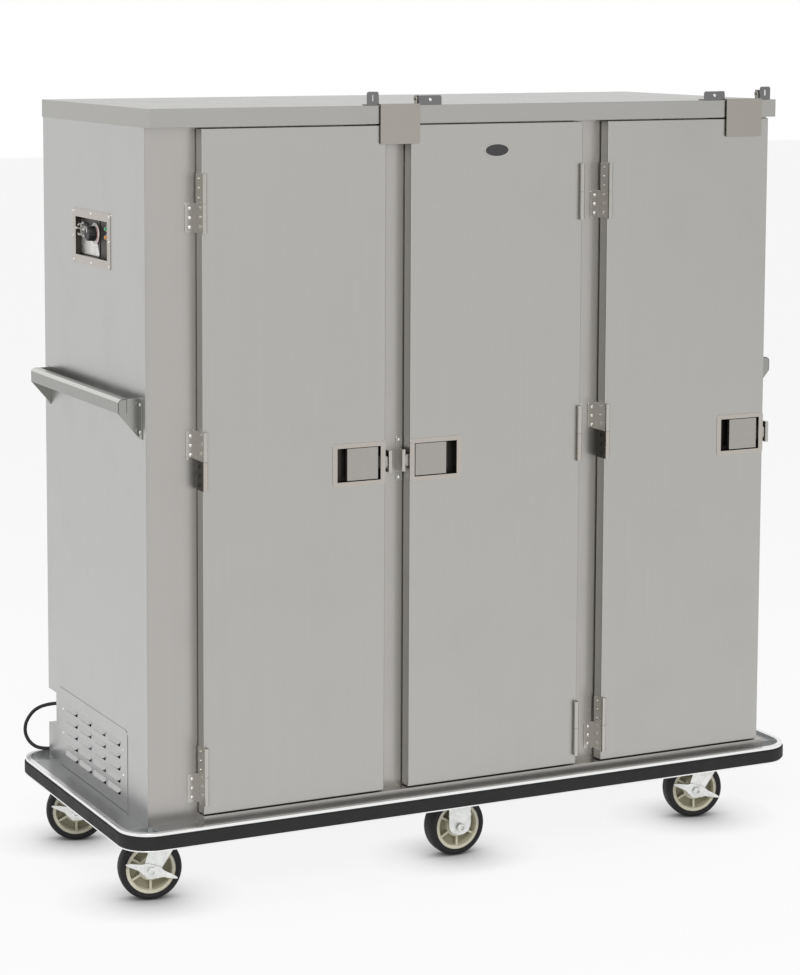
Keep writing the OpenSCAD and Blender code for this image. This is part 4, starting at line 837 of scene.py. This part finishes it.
def make_handle(side, name):
    """Push handle: a folded bar, open below, on two gussets with riveted feet."""
    bar = bmesh.new()
    rings = [[bar.verts.new((side * x * MM, y * MM, z * MM)) for x, z in bar_section()] for y in HANDLE_Y]
    count = len(rings[0])
    for k in range(count):
        bar.faces.new((rings[0][k], rings[0][(k + 1) % count], rings[1][(k + 1) % count], rings[1][k]))
    for ring in rings:
        bar.faces.new(ring)
    bmesh.ops.recalc_face_normals(bar, faces=bar.faces)
    bevel_edges(bar, 0.7 * MM, 25)
    outline = [(839, HANDLE_TOP), (882, HANDLE_TOP), (888.6, 1188), (890, 1184.5), (890, 1158), (839, HANDLE_FOOT)]
    parts = [(bar, HERE)]
    for y, foot in ((HANDLE_Y[0], -1), (HANDLE_Y[1] - 2.5, 1)):
        gusset = cut_sheet("gusset", [mm(outline)], 2.5 * MM, 0.5 * MM)
        stand = Matrix(((side, 0, 0, 0), (0, 0, 1, y * MM), (0, 1, 0, 0), (0, 0, 0, 1)))
        parts.append((gusset, stand))
        edge = HANDLE_Y[0] if foot < 0 else HANDLE_Y[1]
        pad = bmesh.new()
        ys = sorted((edge, edge + foot * 20))
        xs = sorted((side * 839, side * 841.5))
        add_box(pad, *mm([(xs[0], ys[0], HANDLE_FOOT), (xs[1], ys[1], HANDLE_TOP)]), 0.6 * MM)
        parts.append((pad, HERE))
    whole = joined(*parts)
    bmesh.ops.recalc_face_normals(whole, faces=whole.faces)
    piece = add_piece("push_handle_" + name, mesh_from(whole, "handle"), handle_steel, "cabinet", "side_handles",
                      smooth=25, slot="bright_stainless")
    # the chamfer faces along the bar's top get a painted highlight
    paint_solids(piece, handle_edge_painted_highlight, lambda p: 882.5 < abs(p.x) < 889.9 and p.z > 1184.6)
    return piece


make_handle(-1, "left")
make_handle(1, "right")


def make_fasteners():
    """Domed screw heads, and the hexagon bolts of the caster plates."""
    bm = solid("fasteners")
    whole = bmesh.new()
    dome = [(4, 0), (4, 0.7)] + [(4 * math.cos(a), 0.7 + 1.3 * math.sin(a)) for a in
                                 (math.pi / 2 * k / 5 for k in range(1, 5))] + [(0, 2)]
    for group in loose_solids(bm):
        low = Vector([min(v.co[i] for v in group) for i in range(3)]) / MM
        high = Vector([max(v.co[i] for v in group) for i in range(3)]) / MM
        size, middle = high - low, (low + high) / 2
        if size.z > 4.5 and size.x > 10:
            bolt = lathe(mm([(5, 0), (5.9, 0.5), (5.9, 5), (0, 5)]), 6)
            washer = lathe(mm([(0, 3.6), (7.4, 3.6), (7.4, 5), (0, 5)]), 32)
            place = Matrix.Translation(Vector((middle.x, middle.y, low.z)) * MM)
            whole = joined((whole, HERE), (bolt, place), (washer, place))
            continue
        if size.x < size.y:
            axis = (-1, 0, 0) if middle.x < 0 else (1, 0, 0)
            at = (high.x if middle.x < 0 else low.x, middle.y, middle.z)
        else:
            axis, at = (0, -1, 0), (middle.x, high.y, middle.z)
        head = lathe(mm(dome), 24)
        whole = joined((whole, HERE), (head, facing(axis, at)))
    add_piece("screws_and_rivets", mesh_from(whole, "screws"), screw_steel, "cabinet", "fasteners",
              slot="bright_stainless")


make_fasteners()

# ---------- casters ----------

refine("swivel_plates", zinc, 0.6, slot="zinc")
KING_Y, TRAIL, CROWN_Z, LEG_IN, LEG_T = 247, 50, 164, 30, 3.5
WHEEL_R, AXLE_HOLE, BRAKE_T, BRAKE_TILT = 75, 6.1, 3, 18
CASTERS = {"front_left": (-754, -KING_Y, -13), "front_right": (754, -KING_Y, -14), "rear_left": (-754, KING_Y, -20),
           "rear_right": (754, KING_Y, -8), "middle_front": (0, -KING_Y, None), "middle_rear": (0, KING_Y, None)}


def rounded(outline, radius, points=4):
    """An outline with each corner cut by a small curve."""
    made, count = [], len(outline)
    for k in range(count):
        before, here, after = (Vector(outline[(k + d) % count]) for d in (-1, 0, 1))
        reach = min(radius, (before - here).length * 0.45, (after - here).length * 0.45)
        a, b = here + (before - here).normalized() * reach, here + (after - here).normalized() * reach
        for i in range(points + 1):
            t = i / points
            made.append(tuple(a * (1 - t) ** 2 + here * 2 * t * (1 - t) + b * t * t))
    return made


def fork_parts(back):
    """A fork about its kingpin, the axle back from it: pressed legs and crown, race, bolt and nuts."""
    reach = (42, 30) if back else (30, 30)
    foot = 22 if back else 30
    leg = [(-reach[0], 168), (-back - foot, 77), (-back - foot + 6, 63), (-back - 9, 55), (-back + 9, 55),
           (-back + foot - 6, 63), (-back + foot, 77), (reach[1], 168)]
    outlines = [mm(rounded(leg, 6)), mm(circle(AXLE_HOLE, 24, (-back, WHEEL_R)))]
    parts = []
    for y in (-LEG_IN - LEG_T, LEG_IN):
        plate = cut_sheet("leg", outlines, LEG_T * MM, 0.6 * MM)
        parts.append((plate, Matrix(((1, 0, 0, 0), (0, 0, 1, y * MM), (0, 1, 0, 0), (0, 0, 0, 1)))))
    half = LEG_IN + LEG_T
    crown = bmesh.new()
    add_box(crown, *mm([(-reach[0], -half, CROWN_Z), (reach[1], half, CROWN_Z + 4)]), 1.6 * MM, 3)
    parts.append((crown, HERE))
    if back:
        race = [(8.1, 168), (36, 168), (37, 169), (37, 174.5), (35.5, 177), (31, 178.7), (30, 179.2), (30, 183.6),
                (8.1, 183.6), (8.1, 168)]
    else:
        race = [(0, 168), (22, 168), (22, 183.9), (0, 183.9)]
    parts.append((lathe(mm(race), 64), HERE))
    stem = lathe(mm([(0, -half - 7), (5, -half - 7), (6, -half - 6), (6, half + 6), (5, half + 7), (0, half + 7)]), 32)
    axle = facing((0, 1, 0), (-back, 0, WHEEL_R))
    parts.append((stem, axle))
    for side, base, top in ((1, half + 0.1, half + 8), (-1, half + 4.3, half + 11.3)):
        nut = lathe(mm([(5.8, base), (11, base), (11, top - 1), (9.2, top), (5.8, top), (5.8, base)]), 6)
        turn = HERE if side > 0 else Matrix.Rotation(math.pi, 4, "X")
        parts.append((nut, axle @ turn))
    return parts


def make_fork(name, x, y, yaw, body, node):
    """A caster's fork; a rigid one, which has no yaw, also gets the pad under the deck."""
    place = Matrix.Translation((x * MM, y * MM, 0)) @ Matrix.Rotation(math.radians(yaw or 0), 4, "Z")
    whole = joined(*[(bm, place @ matrix) for bm, matrix in fork_parts(0 if yaw is None else TRAIL)])
    if yaw is None:
        pad = cut_sheet("pad", [mm(round_corners(102, 114, 8))], 6 * MM, 0.6 * MM)
        whole = joined((whole, HERE), (pad, Matrix.Translation((x * MM, y * MM, 184 * MM))))
    bmesh.ops.recalc_face_normals(whole, faces=whole.faces)
    return add_piece("caster_fork_" + name, mesh_from(whole, "fork"), zinc, body, node, slot="zinc")


def make_brake(name, x, y, yaw):
    """Brake lever on the axle: a wide middle with thin pointed arms."""
    arm = [(-56, 4), (-28, 9), (-17, 15), (17, 15), (28, 9), (56, 4), (64, 1), (64, -2), (56, -4), (28, -7),
           (17, -14), (-17, -14), (-28, -7), (-56, -4), (-64, -2), (-64, 1)]
    lever = cut_sheet("lever", [mm(rounded(arm, 4)), mm(circle(AXLE_HOLE, 24))], BRAKE_T * MM, 0.5 * MM)
    place = (Matrix.Translation((x * MM, y * MM, 0)) @ Matrix.Rotation(math.radians(yaw), 4, "Z")
             @ Matrix.Translation((-TRAIL * MM, -(LEG_IN + 7.2) * MM, WHEEL_R * MM))
             @ Matrix.Rotation(math.radians(BRAKE_TILT), 4, "Y") @ Matrix.Rotation(math.pi / 2, 4, "X")
             @ Matrix.Translation((0, 0, -BRAKE_T * MM)))
    return add_piece("brake_lever_" + name, mesh_from(joined((lever, place)), "lever"), zinc, "brake_" + name,
                     "brake_" + name, slot="zinc")


def wheel_place(x, y, yaw):
    """Where a wheel's own frame lies: its axle along the local Z axis."""
    back = 0 if yaw is None else TRAIL
    turn = Matrix.Rotation(math.radians(yaw or 0), 4, "Z")
    return (Matrix.Translation((x * MM, y * MM, 0)) @ turn @ Matrix.Translation((-back * MM, 0, WHEEL_R * MM))
            @ Matrix.Rotation(math.pi / 2, 4, "X"))


def tyre_shape():
    """Soft tyre with a crowned tread, a step at its shoulders and a moulding line."""
    half = [(59, 23), (63.6, 23.2), (65, 24), (67.6, 23.9), (70.4, 22.2), (72.8, 19), (74.2, 14.6), (74.9, 8), (75, 0)]
    profile = half + [(r, -h) for r, h in half[-2::-1]]
    return lathe(mm(profile + [profile[0]]), 144)


def hub_shape():
    """Moulded hub: rim, six spokes and an inner ring about a stepped boss, with deep pockets between."""
    half = [(6.06, 29.2), (9, 29.3), (10.4, 28.6), (11, 26), (16, 25.4), (17, 24), (17.2, 18.6), (26.6, 18.2), (28, 17),
            (28.4, 5), (31, 3.4), (46, 3.4), (49.2, 6), (49.9, 20), (51, 22), (57.4, 22), (58.6, 21.4), (59, 20.6)]
    profile = half + [(r, -h) for r, h in half[::-1]]
    bm = lathe(mm(profile + [profile[0]]), 120)
    parts = [(bm, HERE)]
    for k in range(6):
        rib = bmesh.new()
        add_box(rib, *mm([(26, -3.3, -17), (50.6, 3.3, 17)]), 1.6 * MM, 2)
        parts.append((rib, Matrix.Rotation(math.radians(30 + 60 * k), 4, "Z")))
    return joined(*parts)


def make_wheel(name, x, y, yaw):
    """A tyre on its hub, the hub's pockets in a darker olive tone: dirt and painted shade in the recesses."""
    place = wheel_place(x, y, yaw)
    for part, bm, material, slot in (("tyre", tyre_shape(), tyre_rubber, "tyre_black"),
                                     ("hub", hub_shape(), cream_plastic, "wheel_cream")):
        piece = add_piece(f"{part}_{name}_piece", mesh_from(bm, part), material, "wheel_" + name, smooth=40)
        if part == "hub":
            # pockets between rim and boss are painted darker: dirt and painted shade
            paint_solids(piece, pocket_dirt_and_painted_shade, lambda p: 28.8 < math.hypot(p.x, p.y) < 49.5 and abs(p.z) < 16.5)
        piece.matrix_world = place
        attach(piece, "wheel_" + name)
        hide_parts(f"{part}_{name}")


for name, (x, y, yaw) in CASTERS.items():
    make_wheel(name, x, y, yaw)
    if yaw is None:
        make_fork(name, x, y, None, "cabinet", "rigid_forks")
    else:
        make_fork(name, x, y, yaw, "fork_" + name, "fork_" + name)
        make_brake(name, x, y, yaw)


# ---------- floor and light ----------

def make_floor():
    """White floor: its lit part takes the cart's shadow, and its glow is darkened by occlusion into a painted contact
    shadow, darkest where the wheels stand; it is white beyond.
    """
    f = Finish("floor")
    path = [f.node("LightPath", output=name) for name in ("Is Camera Ray", "Is Glossy Ray", "Is Transmission Ray")]
    seen = path[0].math("MAXIMUM", path[0], path[0].math("MAXIMUM", path[1], path[2]))
    grain = f.noise(3, detail=2)
    f.set(colour=f.between(grain, (0.86, 0.86, 0.86), (0.88, 0.88, 0.88)), rough=0.9)
    # occlusion darkens the floor's glow near the wheels and under the cart: a painted contact shadow
    near = f.node("AmbientOcclusion", {"samples": 24}, {"Distance": 0.16}, output="AO")
    white = f.node("Emission", {}, {"Color": f.between(near.math("POWER", near, 1.6), (0.02, 0.02, 0.02), (1, 1, 1))})
    mixed = f.node("MixShader", {}, {0: seen * 0.86, 1: Field(f.tree, f.shader.outputs[0]), 2: white})
    f.tree.links.new(mixed.socket, f.tree.nodes["Material Output"].inputs[0])
    bm = bmesh.new()
    bmesh.ops.create_grid(bm, x_segments=8, y_segments=8, size=30)
    floor = bpy.data.objects.new("floor", mesh_from(bm, "floor"))
    bpy.context.scene.collection.objects.link(floor)
    floor.data.materials.append(f.material)


def make_world():
    """White surroundings, seen and reflected, with a softer level for plain light."""
    world = bpy.data.worlds.new("studio")
    world.use_nodes = True
    bpy.context.scene.world = world
    tree = world.node_tree
    path = tree.nodes.new("ShaderNodeLightPath")
    camera, glossy, through_glass = (Field(tree, path.outputs[name])
                                     for name in ("Is Camera Ray", "Is Glossy Ray", "Is Transmission Ray"))
    seen = camera.math("MAXIMUM", camera, through_glass)
    place = tree.nodes.new("ShaderNodeTexCoord")
    split = tree.nodes.new("ShaderNodeSeparateXYZ")
    tree.links.new(place.outputs["Generated"], split.inputs[0])
    x, y = Field(tree, split.outputs[0]), Field(tree, split.outputs[1])
    side = x.math("ARCTAN2", x, 0 - y)
    reflected = 0.93
    for middle, width, gain in ((0.5, 0.2, 0.16), (1.15, 0.42, -0.62), (-0.75, 0.3, -0.4)):
        reflected = reflected + gain * lobe(side, middle, width)
    reflected = reflected.math("MAXIMUM", reflected, 0.1)
    background = tree.nodes["Background"]
    background.inputs[0].default_value = (1, 1, 1, 1)
    level = 0.5 + 0.5 * seen
    feed(tree, background.inputs[1], level.math("MAXIMUM", level * (1 - glossy), glossy * reflected))


def lobe(angle, middle, width):
    """Soft bell about an angle, in radians."""
    away = (angle - middle) / width
    return away.math("EXPONENT", 0 - away * away)


def add_lamp(name, at, towards, size, power, mirrored=True):
    lamp = bpy.data.objects.new(name, bpy.data.lights.new(name, "AREA"))
    lamp.data.shape = "RECTANGLE"
    lamp.data.size, lamp.data.size_y = size
    lamp.data.energy = power
    lamp.location = at
    lamp.rotation_euler = (Vector(towards) - Vector(at)).to_track_quat("-Z", "Y").to_euler()
    bpy.context.scene.collection.objects.link(lamp)
    lamp.visible_glossy = mirrored


make_floor()
make_world()
add_lamp("key_lamp", (-2.6, -4.6, 4.2), (0, 0, 0.9), (2.4, 2.4), 150)
add_lamp("fill_lamp", (4.5, -4.0, 2.2), (0, 0, 0.9), (2.5, 2.5), 40, False)
add_lamp("top_lamp", (0, 0.5, 4.6), (0, 0, 1), (3.5, 2.5), 60, False)

# ---------- colour view --------

view = bpy.context.scene.view_settings
view.view_transform = "Standard"
